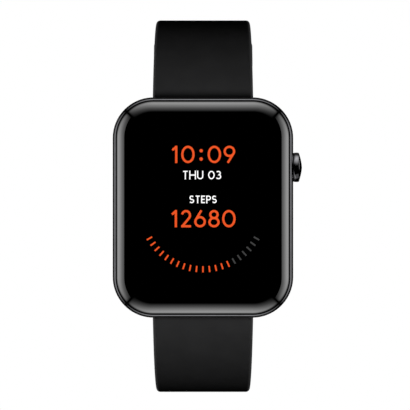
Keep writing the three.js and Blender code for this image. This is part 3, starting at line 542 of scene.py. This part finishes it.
def rear_housing():
    width, height = COVER_HIGH.x - COVER_LOW.x, COVER_HIGH.z - COVER_LOW.z
    face, back = 1.2, -COVER_LOW.y
    levels = [(face, 0.25), (face + 0.08, 0.08), (face + 0.25, 0), (back, 0)]
    base = plate(width, height, 3.9, levels)
    rim = -COVER_HIGH.y
    boss = [(10.1, face + 0.4), (10.1, rim + 0.08), (10.2, rim), (10.6, rim)]
    for i in range(1, 13):
        angle = math.radians(90 * i / 12)
        boss.append((10.6 + 1.4 * math.sin(angle), rim + (face + 0.1 - rim) * (1 - math.cos(angle))))
    boss.append((12, face + 0.4))
    ring = lathe(boss, outward(0, 0), 96)
    closed = (ring[0], ring[1][:-2] + bridge(len(boss), 96))
    well = rod(9.95, -1, 1.35, outward(0, 0), 96)
    window = rod(7.2, -1, 4, outward(0, 0), 64)
    holes = []
    for sub in ("rear_screw_1", "rear_screw_2", "rear_screw_3", "rear_screw_4"):
        low, high = box_mm(sub)
        spot = outward((low.x + high.x) / 2, (low.z + high.z) / 2)
        holes.append(lathe([(1.55, 1), (1.4, 1.3), (1.35, 1.7)], spot, 40))
        holes.append(rod(0.7, 1, 4, spot, 24))
    for sub in ("charge_pin_left", "charge_pin_right"):
        low, high = box_mm(sub)
        spot = outward((low.x + high.x) / 2, (low.z + high.z) / 2)
        holes.append(lathe([(1.45, 1), (1.15, 1.35), (1.15, 4)], spot, 40))
    shaped = carve(weld(carve(base, well), closed), window, *holes)
    piece("rear_housing", *shaped, COVER_PLASTIC, "head", "rear_cover", ["rear_cover"], 32)


def bridge(rings, count):
    """The quads that close a lathe's last ring on its first."""
    last = (rings - 1) * count
    return [(last + i, last + (i + 1) % count, (i + 1) % count, i) for i in range(count)]


def sensor_window():
    radius = (LENS_HIGH.x - LENS_LOW.x) / 2
    profile = [(0.001, -LENS_LOW.y), (radius, -LENS_LOW.y), (radius, 0.5)]
    for i in range(1, 13):
        angle = math.radians(90 * i / 12)
        profile.append((radius - 0.8 * (1 - math.cos(angle)), 0.4 * (1 - math.sin(angle))))
    profile.append((0.001, 0))
    shaped = lathe(profile, outward(0, 0), 96)
    piece("sensor_window", *shaped, WINDOW_PLASTIC, "head", "sensor_window", ["sensor_lens"], 40)


# ------------------------------------------------------------------ the strap


class Half:
    """One strap half's path, in a frame whose up is away from the case's middle. length runs from the bar."""

    def __init__(self, bar, sign, bend, wrap, length, end_width):
        self.bar, self.sign, self.bend, self.wrap = bar, sign, bend, wrap
        self.length, self.end_width = length, end_width

    def station(self, length):
        """Centre, forward and outward at a length along the path, in the row frame."""
        bend_length = self.bend * (math.pi / 2 - EMERGES)
        tilt = EMERGES + min(length, bend_length) / self.bend
        up = abs(self.bar.z) + self.bend * (math.sin(tilt) - math.sin(EMERGES))
        back = self.bar.y + self.bend * (math.cos(EMERGES) - math.cos(tilt))
        if length > bend_length:
            tilt += (length - bend_length) / self.wrap
            up += self.wrap * (math.sin(tilt) - 1)
            back -= self.wrap * math.cos(tilt)
        centre = Vector((0, back, self.sign * up))
        forward = Vector((0, math.sin(tilt), self.sign * math.cos(tilt)))
        out = Vector((0, -math.cos(tilt), self.sign * math.sin(tilt)))
        return centre, forward, out

    def place(self, length):
        """A matrix for pieces on the strap: x across, y forward, z out."""
        centre, forward, out = self.station(length)
        across = forward.cross(out)
        return Matrix.Translation(centre) @ Matrix((across, forward, out)).transposed().to_4x4()

    def width(self, length):
        return STRAP_WIDTH + (self.end_width - STRAP_WIDTH) * length / self.length

    def thickness(self, length):
        return STRAP_ROOT + (STRAP_END - STRAP_ROOT) * length / self.length

    def section(self, length, share=1.0):
        outline = rounded_rectangle(self.width(length) * share, self.thickness(length), STRAP_EDGE, 6)
        return [self.place(length) @ Vector((x, 0, z)) for x, z in outline]


def upper_bend():
    """The radius that takes the strap from its bar to the start of its wrap round the wrist."""
    rise = WRAP_CENTRE.z + upper_wrap() - UPPER_BAR.z
    run = WRAP_CENTRE.y - UPPER_BAR.y
    return (rise * rise + run * run) / (2 * rise)


def upper_wrap():
    return (BUCKLE_BAR - WRAP_CENTRE).length


UPPER = Half(UPPER_BAR, 1, upper_bend(), upper_wrap(), 71, 18.7)
LOWER = Half(LOWER_BAR, -1, 25.8, 44, 105, 17.8)
TIP_LENGTH = 7.5
TIP_NARROWEST = 0.22


def band(half, tip):
    straight = half.length - (TIP_LENGTH if tip else 0)
    count = round(straight)
    rings = [half.section(straight * i / count) for i in range(count + 1)]
    if tip:
        furthest = math.acos(TIP_NARROWEST)
        for i in range(1, 25):
            angle = furthest * i / 24
            rings.append(half.section(straight + TIP_LENGTH * math.sin(angle), math.cos(angle)))
    return loft(rings)


def root_cuts(half):
    """The bore for the spring bar, and the notch that its lever slides in."""
    middle = half.place(0)
    lever = -7.3
    bore = lathe([(0.85, -12), (0.85, 12)], middle @ Matrix.Rotation(math.radians(90), 4, "Y"), 32)
    notch = block((lever - 0.75, -0.8, -12), (lever + 2.05, 0.8, 0))
    return [bore, ([middle @ p for p in notch[0]], notch[1])]


def root_barrel(half):
    place = half.place(0) @ Matrix.Rotation(math.radians(90), 4, "Y")
    return rod(STRAP_ROOT / 2 + 0.1, -STRAP_WIDTH / 2, STRAP_WIDTH / 2, place, 48)


def strap_hole(half, length):
    """A hole whose rims are rounded over on both faces."""
    face = half.thickness(length) / 2
    profile = [(1.9, -face - 0.3), (1.45, -face), (1.2, -face + 0.25), (1.15, -face + 0.5)]
    profile += [(radius, -distance) for radius, distance in reversed(profile)]
    return lathe(profile, half.place(length), 32)


def strap_halves():
    end = UPPER.place(UPPER.length)
    sideways = Matrix.Rotation(math.radians(90), 4, "Y")
    nose = rod(STRAP_END / 2 + 0.1, -UPPER.end_width / 2, UPPER.end_width / 2, end @ sideways, 40)
    bore = rod(BUCKLE_BORE, -12, 12, end @ sideways, 24)
    slot = block((-1.3, -2.2, -3), (1.3, 3, 3))
    slot = ([end @ p for p in slot[0]], slot[1])
    upper = carve(weld(band(UPPER, False), root_barrel(UPPER), nose), *root_cuts(UPPER), bore, slot)
    piece("upper_band_skin", *upper, SILICONE, "upper_band", "silicone", ["upper_strap"], 40)

    first = LOWER.length - FIRST_HOLE_FROM_END
    holes = [strap_hole(LOWER, first - HOLE_PITCH * i) for i in range(HOLE_COUNT)]
    lower = carve(weld(band(LOWER, True), root_barrel(LOWER)), *root_cuts(LOWER), *holes)
    piece("lower_band_skin", *lower, SILICONE, "lower_band", "silicone", ["lower_strap"], 40)


def bar_spring(name, node_name, body):
    """The coil inside a spring bar, a fixed helix as long as its node; the real coil shortens as its release pin
    is drawn in.
    """
    low, high = box_mm(node_name)
    wire = SPRING_WIRE
    radius = (high.z - low.z) / 2 - wire
    axis_y, axis_z = (low.y + high.y) / 2, (low.z + high.z) / 2
    start, end = low.x + wire, high.x - wire
    turns, steps = SPRING_TURNS, 24
    rings = []
    for i in range(turns * steps + 1):
        angle = 2 * math.pi * i / steps
        along = start + (end - start) * i / (turns * steps)
        ring_points = []
        for k in range(8):
            around = 2 * math.pi * k / 8
            reach = radius + wire * math.cos(around)
            x = along + wire * math.sin(around)
            y, z = axis_y + reach * math.cos(angle), axis_z + reach * math.sin(angle)
            ring_points.append(Vector((x, y, z)))
        rings.append(ring_points)
    coil = piece(name, *loft(rings), STEEL, body, "steel", [node_name], 60)
    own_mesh(coil)


def keeper(name, from_end, body, stands_for):
    """A soft loop round the upper half, curved with it, with its edges rolled over."""
    middle = UPPER.length - from_end
    inner_half = UPPER.width(middle) / 2 + KEEPER_GAP
    low = -UPPER.thickness(middle) / 2 - KEEPER_GAP
    high = UPPER.thickness(middle) / 2 + STRAP_END + 2 * KEEPER_GAP
    rings = []
    for step, inset in keeper_profile():
        wall = KEEPER_WALL - inset
        outline = rounded_rectangle(2 * (inner_half + wall), high - low + 2 * wall, 0.5 + wall * 0.9, 8)
        place = UPPER.place(middle + step)
        rings.append([place @ Vector((x, 0, z + (high + low) / 2)) for x, z in outline])
    shaped = loft(rings, closed=True)
    piece(name, *shaped, SILICONE, body, "silicone", stands_for, 50)


def keeper_profile():
    """[along, inset] round the section of the loop's wall: out over the top, and back along the inside."""
    profile = []
    for i in range(9):
        angle = math.radians(90 * i / 8)
        along = KEEPER_ROUND * (1 - math.sin(angle)) - KEEPER_HALF_LENGTH
        profile.append((along, KEEPER_ROUND * (1 - math.cos(angle))))
    top = [(step, inset) for step, inset in reversed(profile)]
    top += [(-step, inset) for step, inset in profile]
    bottom = [(-step, KEEPER_WALL - inset) for step, inset in top]
    return top + bottom


def buckle():
    """The frame, its bar and the tongue, which hang from the strap's end."""
    y, z = BUCKLE_BAR.y, BUCKLE_BAR.z
    inner = UPPER.end_width / 2 + 0.3
    outer = inner + BUCKLE_ARM
    low, high = box_mm("buckle_frame")
    frame_place = Matrix.Translation((0, y, 0))
    rings = []
    for i in range(16):
        angle = 2 * math.pi * i / 16
        bulge = superellipse(angle, 0.75, 1.0)
        inset = 0.75 - bulge[0]
        tall = high.z - low.z - 2 * inset
        outline = rounded_rectangle(2 * (outer - inset), tall, BUCKLE_CORNER - inset, 10)
        middle = (high.z + low.z) / 2
        rings.append([frame_place @ Vector((x, bulge[1], middle + up)) for x, up in outline])
    hoop = loft(rings, closed=True)
    gap = block((-inner + 0.01, y - 3, z - 0.9), (inner - 0.01, y + 3, z + 6))
    bore = rod(BUCKLE_BORE, -outer + 0.5, outer - 0.5, along_x(y, z), 24)
    shaped = carve(hoop, gap, bore)
    piece("buckle_hoop", *shaped, BUCKLE_METAL, "buckle", "polished_buckle", ["buckle_frame"], 40)
    tongue(y, z)


def superellipse(angle, a, b, power=2.6):
    c, s = math.cos(angle), math.sin(angle)
    x = math.copysign(abs(c) ** (2 / power), c) * a
    y = math.copysign(abs(s) ** (2 / power), s) * b
    return x, y


def tongue(y, z):
    """A prong lofted from its eye over to the far bar."""
    low, high = box_mm("buckle_tongue")
    reach = z - low.z
    rings = []
    for i in range(25):
        share = i / 24
        along = 0.3 + (reach - 0.3) * share
        rest = 1.05 + 0.75 * math.sin(math.pi * min(1, share * 1.05)) * (1 - share)
        thick = 0.7 - 0.2 * share
        width = 1.0 - 0.12 * share
        middle = rest + thick / 2 - (1 - share) ** 3 * 0.15
        ring = []
        for k in range(20):
            across, rise = superellipse(2 * math.pi * k / 20, width, thick / 2)
            ring.append(Vector((across, y + middle + rise, z - along)))
        rings.append(ring)
    eye = rod(1.25, -1, 1, along_x(y, z), 40)
    bore = rod(BUCKLE_BORE, -3, 3, along_x(y, z), 24)
    shaped = carve(weld(eye, loft(rings)), bore)
    piece("prong", *shaped, BUCKLE_METAL, "tongue", "polished_buckle", ["buckle_tongue"], 40)


# ------------------------------------------------------------------ what the display shows


class Glow:
    """Flat lit shapes on the display, each with its own colour."""

    def __init__(self):
        self.points, self.faces, self.colors = [], [], []
        self.out = -GLASS_HIGH.y - 0.005

    def add(self, outline, color):
        start = len(self.points)
        self.points += [dial(x, up, self.out) for x, up in outline]
        self.faces.append(tuple(range(start, start + len(outline))))
        self.colors.append(color)

    def dot(self, x, up, radius, color, sides=8):
        turns = [2 * math.pi * i / sides for i in range(sides)]
        self.add([(x + radius * math.cos(turn), up + radius * math.sin(turn)) for turn in turns], color)

    def stroke(self, path, width, color, closed=False):
        """A ribbon of even width along a path."""
        count = len(path)
        left, right = [], []
        for i, here in enumerate(path):
            before = path[i - 1] if closed or i > 0 else here
            after = path[(i + 1) % count] if closed or i < count - 1 else here
            a, b = unit(before, here), unit(here, after)
            a, b = a or b, b or a
            normal = Vector((-(a.y + b.y), a.x + b.x)).normalized()
            reach = width / 2 / max(0.5, normal.dot(Vector((-a.y, a.x))))
            left.append((here[0] + normal.x * reach, here[1] + normal.y * reach))
            right.append((here[0] - normal.x * reach, here[1] - normal.y * reach))
        for i in range(count if closed else count - 1):
            j = (i + 1) % count
            self.add([left[i], right[i], right[j], left[j]], color)

    def finish(self, name):
        mesh = bpy.data.meshes.new(name)
        mesh.from_pydata([p * MM for p in self.points], [], self.faces)
        layer = mesh.color_attributes.new("Glow", "FLOAT_COLOR", "CORNER")
        corner = 0
        for face, color in zip(self.faces, self.colors):
            for _ in face:
                layer.data[corner].color = (*color, 1)
                corner += 1
        mesh.materials.append(SCREEN_LIGHT)
        shown = bpy.data.objects.new(name, mesh)
        bpy.context.scene.collection.objects.link(shown)
        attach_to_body(shown, "head")
        return shown


def unit(a, b):
    step = Vector((b[0] - a[0], b[1] - a[1]))
    return step.normalized() if step.length > 1e-6 else None


def arc(x, y, rx, ry, start, end, steps=16):
    angles = [math.radians(start + (end - start) * i / steps) for i in range(steps + 1)]
    return [(x + rx * math.cos(a), y + ry * math.sin(a)) for a in angles]


def ring(x, y, rx, ry, steps=28):
    return arc(x, y, rx, ry, 0, 360 - 360 / steps, steps - 1)


# Each sign is its width, its open strokes and its rings, one unit high between the middles of its strokes.
SIGNS = {
    "0": (0.74, [], [ring(0.37, 0.5, 0.37, 0.5)]),
    "1": (0.35, [[(0.0, 0.78), (0.25, 0.99)], [(0.26, 1.07), (0.26, -0.07)]], []),
    "2": (0.57, [arc(0.27, 0.72, 0.26, 0.28, 168, -40) + [(0.03, 0.0)], [(-0.05, 0.0), (0.6, 0.0)]], []),
    "3": (0.6, [arc(0.28, 0.76, 0.25, 0.24, 150, -80) + arc(0.28, 0.27, 0.31, 0.27, 80, -152)], []),
    "6": (0.62, [[(0.4, 1.05), (0.05, 0.46)]], [ring(0.31, 0.3, 0.31, 0.3)]),
    "8": (0.6, [], [ring(0.3, 0.77, 0.24, 0.23), ring(0.3, 0.27, 0.3, 0.27)]),
    "9": (0.62, [[(0.2, -0.05), (0.57, 0.54)]], [ring(0.31, 0.7, 0.31, 0.3)]),
    "T": (0.62, [[(0.0, 1.0), (0.62, 1.0)], [(0.31, 1.0), (0.31, -0.1)]], []),
    "H": (0.76, [[(0.0, 1.1), (0.0, -0.1)], [(0.76, 1.1), (0.76, -0.1)], [(0.0, 0.5), (0.76, 0.5)]], []),
    "U": (0.7, [[(0.0, 1.1)] + arc(0.35, 0.35, 0.35, 0.35, 180, 360) + [(0.7, 1.1)]], []),
    "S": (0.6, [arc(0.3, 0.74, 0.26, 0.26, 35, 250, 14) + arc(0.3, 0.25, 0.29, 0.25, 70, -150, 14)], []),
    "E": (0.48, [[(0.52, 1.0), (0.0, 1.0), (0.0, 0.0), (0.52, 0.0)], [(0.0, 0.5), (0.46, 0.5)]], []),
    "P": (
        0.56,
        [[(0.0, -0.12), (0.0, 1.0), (0.27, 1.0)] + arc(0.27, 0.71, 0.29, 0.29, 80, -90) + [(0.0, 0.42)]],
        [],
    ),
    " ": (0.2, [], []),
    ":": (0.38, [], []),
}
SIGN_GAP = 0.31


def write(glow, text, middle, base, height, weight, color):
    """A line of signs centred on a place of the dial."""
    width = sum(SIGNS[sign][0] for sign in text) + SIGN_GAP * (len(text) - 1)
    x = middle - height * width / 2
    for sign in text:
        advance, open_strokes, rings = SIGNS[sign]
        if sign == ":":
            for up in (0.2, 0.74):
                glow.dot(x + height * advance / 2, base + height * up, weight * 0.78, color, 20)
        for path in open_strokes:
            glow.stroke([(x + height * px, base + height * py) for px, py in path], weight, color)
        for path in rings:
            glow.stroke([(x + height * px, base + height * py) for px, py in path], weight, color, True)
        x += height * (advance + SIGN_GAP)


ORANGE = (0.95, 0.105, 0.022)
WHITE = (1.25, 1.25, 1.25)


def readouts():
    glow = Glow()
    write(glow, "10:09", 0.05, 8.87, 2.96, 0.44, ORANGE)
    write(glow, "THU 03", -0.2, 5.62, 1.42, 0.22, WHITE)
    write(glow, "STEPS", 0.02, 0.96, 1.26, 0.22, WHITE)
    write(glow, "12680", 0.05, -3.65, 2.96, 0.44, ORANGE)
    glow.finish("readouts")


GAUGE_RADIUS_SHARE = 0.4  # of the display's width
GAUGE_SWEEP = 120
GAUGE_STEP = 6
GAUGE_LIT_SHARE = 0.7
TICK_LENGTH = 1.2
TICK_WIDTH = 0.3
UNLIT = (0.06, 0.06, 0.06)


def goal_gauge():
    """A plain gauge of evenly spaced ticks below the readouts, lit up to a share of a goal."""
    low, high = box_mm("display_panel")
    inner = GAUGE_RADIUS_SHARE * (high.x - low.x)
    outer = inner + TICK_LENGTH
    ticks = GAUGE_SWEEP // GAUGE_STEP
    glow = Glow()
    for i in range(ticks + 1):
        angle = math.radians(i * GAUGE_STEP - 90 - GAUGE_SWEEP / 2)
        x, up = math.cos(angle), math.sin(angle)
        color = ORANGE if i <= ticks * GAUGE_LIT_SHARE else UNLIT
        glow.stroke([(x * inner, up * inner), (x * outer, up * outer)], TICK_WIDTH, color)
    glow.finish("goal_gauge")


# ------------------------------------------------------------------ the studio


def camera():
    lens = bpy.data.cameras.new("camera")
    lens.lens = 188.1
    lens.sensor_width = 36
    lens.clip_start = 0.01
    shown = bpy.data.objects.new("camera", lens)
    shown.location = Vector((0.4, -6.5 - 420, 0.49)) * MM
    shown.rotation_euler = (math.radians(90), 0, 0)
    bpy.context.scene.collection.objects.link(shown)
    bpy.context.scene.camera = shown


def backdrop():
    """A white surround that only the camera sees, so that the polished faces reflect the cards instead."""
    world = bpy.data.worlds.new("surround")
    bpy.context.scene.world = world
    world.use_nodes = True
    world.node_tree.nodes["Background"].inputs["Color"].default_value = (1, 1, 1, 1)
    world.node_tree.nodes["Background"].inputs["Strength"].default_value = 1.0
    world.cycles_visibility.diffuse = False
    world.cycles_visibility.glossy = False
    world.cycles_visibility.transmission = False
    world.cycles_visibility.scatter = False
    bpy.context.scene.view_settings.view_transform = "Standard"


def emitter(name, attribute):
    material = bpy.data.materials.new(name)
    material.use_nodes = True
    nodes = material.node_tree.nodes
    nodes.remove(nodes["Principled BSDF"])
    light = nodes.new("ShaderNodeEmission")
    level = nodes.new("ShaderNodeAttribute")
    level.attribute_name = attribute
    material.node_tree.links.new(level.outputs["Fac"], light.inputs["Strength"])
    material.node_tree.links.new(light.outputs["Emission"], nodes["Material Output"].inputs["Surface"])
    material.cycles.emission_sampling = "NONE"
    return material


# Brightness of a wall at each angle off the camera's axis, in degrees.
SIDE_WALL = [(28.3, 1.7), (31, 2.1), (38, 2.85), (46, 4.0), (55, 5.4), (66, 6.5), (82, 6.5)]
SIDE_WALL += [(96, 4.5), (110, 1.6), (118, 0.35), (140, 0.35), (147, 0)]
END_WALL = [(12, 0), (14, 0.08), (19, 0.45), (24, 1.0), (30, 1.6), (37, 2.65), (43, 3.7)]
END_WALL += [(52, 4.7), (62, 6.0), (76, 6.6), (92, 4.5), (106, 1.2), (116, 0.2), (140, 0.2), (147, 0)]
WALL_DISTANCE = 500
WALL_REACH = 44
WALL_FADE = 12


def wall(name, turn, levels, dimming, material):
    """A flat softbox along one side of the watch, from in front to behind, dimmer toward its ends."""
    points, faces, values = [], [], []
    across = 24
    for polar, level in levels:
        for k in range(across + 1):
            azimuth = WALL_REACH * (2 * k / across - 1)
            side = WALL_DISTANCE * math.tan(math.radians(azimuth))
            depth = -WALL_DISTANCE / math.tan(math.radians(polar))
            place = Matrix.Rotation(-turn, 3, "Y") @ Vector((WALL_DISTANCE, depth, side))
            points.append(place)
            share = abs(azimuth) / WALL_REACH
            values.append(level * (1 - dimming * min(1, abs(azimuth) / 38) ** 1.3) * (1 - share**WALL_FADE))
    for r in range(len(levels) - 1):
        for k in range(across):
            a = r * (across + 1) + k
            faces.append((a, a + 1, a + across + 2, a + across + 1))
    mesh = bpy.data.meshes.new(name)
    mesh.from_pydata([p * MM for p in points], [], faces)
    mesh.attributes.new("level", "FLOAT", "POINT").data.foreach_set("value", values)
    mesh.materials.append(material)
    shown = bpy.data.objects.new(name, mesh)
    bpy.context.scene.collection.objects.link(shown)
    shown.visible_camera = False
    shown.visible_diffuse = False
    shown.visible_transmission = False
    shown.visible_shadow = False
    return shown


def light_only(lights, pieces, state):
    """Limits lights to the given pieces (INCLUDE), or keeps them off those pieces (EXCLUDE)."""
    for light in lights:
        linked = bpy.data.collections.new(light.name + "_links")
        for shown in pieces:
            linked.objects.link(shown)
        light.light_linking.receiver_collection = linked
        for entry in linked.collection_objects:
            entry.light_linking.link_state = state


def wearing(*materials):
    """The pieces that carry any of the materials."""
    meshes = [shown for shown in bpy.data.objects if shown.type == "MESH"]
    return [shown for shown in meshes if any(material in materials for material in shown.data.materials)]


def softbox(name, place, aim, size, power, glossy=True, diffuse=True):
    light = bpy.data.lights.new(name, "AREA")
    light.shape = "DISK"
    light.size = size * MM
    light.energy = power
    shown = bpy.data.objects.new(name, light)
    shown.location = Vector(place) * MM
    toward = Vector(aim) - Vector(place)
    shown.rotation_euler = toward.to_track_quat("-Z", "Y").to_euler()
    shown.visible_camera = False
    shown.visible_glossy = glossy
    shown.visible_transmission = glossy
    shown.visible_diffuse = diffuse
    bpy.context.scene.collection.objects.link(shown)
    return shown


def floor():
    """A pale floor, lower than a strap half can swing, lit so evenly that it joins the surround."""
    material = bpy.data.materials.new("floor")
    material.use_nodes = True
    principled = material.node_tree.nodes["Principled BSDF"]
    principled.inputs["Base Color"].default_value = (0, 0, 0, 1)
    principled.inputs["Roughness"].default_value = 1.0
    principled.inputs["Specular IOR Level"].default_value = 0.0
    principled.inputs["Emission Color"].default_value = (1, 1, 1, 1)
    principled.inputs["Emission Strength"].default_value = 1.0
    mesh = bpy.data.meshes.new("floor")
    low = (LOWER_BAR.z - LOWER.length - FLOOR_CLEARANCE) * MM
    side = 3.0
    corners = [(-side, -side, low), (side, -side, low), (side, side, low), (-side, side, low)]
    mesh.from_pydata(corners, [], [(0, 1, 2, 3)])
    mesh.materials.append(material)
    shown = bpy.data.objects.new("floor", mesh)
    bpy.context.scene.collection.objects.link(shown)
    shown.visible_diffuse = False
    shown.visible_glossy = False
    shown.visible_transmission = False
    shown.visible_shadow = False


def studio():
    backdrop()
    graded = emitter("wall_light", "level")
    walls = [
        wall("wall_right", 0, SIDE_WALL, 0.55, graded),
        wall("wall_left", math.pi, SIDE_WALL, 0.55, graded),
        wall("wall_top", math.pi / 2, END_WALL, 0.65, graded),
        wall("wall_bottom", -math.pi / 2, END_WALL, 0.65, graded),
    ]
    soft = wearing(SILICONE)
    rear = wearing(COVER_PLASTIC, WINDOW_PLASTIC)
    crown = [bpy.data.objects["crown_knob"]]
    unlit = soft + rear + [bpy.data.objects["clear_centre"]]
    light_only(walls[:1] + walls[3:], unlit + crown, "EXCLUDE")
    light_only(walls[1:3], unlit, "EXCLUDE")
    kicker = softbox("crown_kicker", (60, -80, -300), (18, 0, 8), 250, 0.14)
    crown_side = softbox("crown_side", (300, -20, 70), (18, 0, 8), 240, 0.4, diffuse=False)
    light_only([kicker, crown_side], crown, "INCLUDE")
    front = softbox("front_fill", (0, -125, -12), (0, 0, -4), 40, 0.138, glossy=False)
    wash = softbox("front_wash", (0, -600, 60), (0, 0, 0), 300, 0.4, glossy=False)
    light_only([front, wash], soft, "INCLUDE")
    softbox("back_fill", (0, 600, 0), (0, 0, 0), 120, 7, glossy=False)
    softbox("left_fill", (-600, 150, 0), (0, 0, 0), 120, 6, glossy=False)
    softbox("right_fill", (600, 150, 0), (0, 0, 0), 120, 6, glossy=False)
    floor()


camera()
finish_frame_nodes()
case_shell()
front_glass()
glass_border()
crown_knob()
rear_housing()
sensor_window()
strap_halves()
bar_spring("upper_coil", "upper_bar_spring", "upper_band")
bar_spring("lower_coil", "lower_bar_spring", "lower_band")
keeper("fixed_loop", FIXED_KEEPER_FROM_END, "upper_band", ["fixed_keeper"])
keeper("sliding_loop", FREE_KEEPER_FROM_END, "sliding_keeper", ["free_keeper"])
buckle()
readouts()
goal_gauge()
studio()
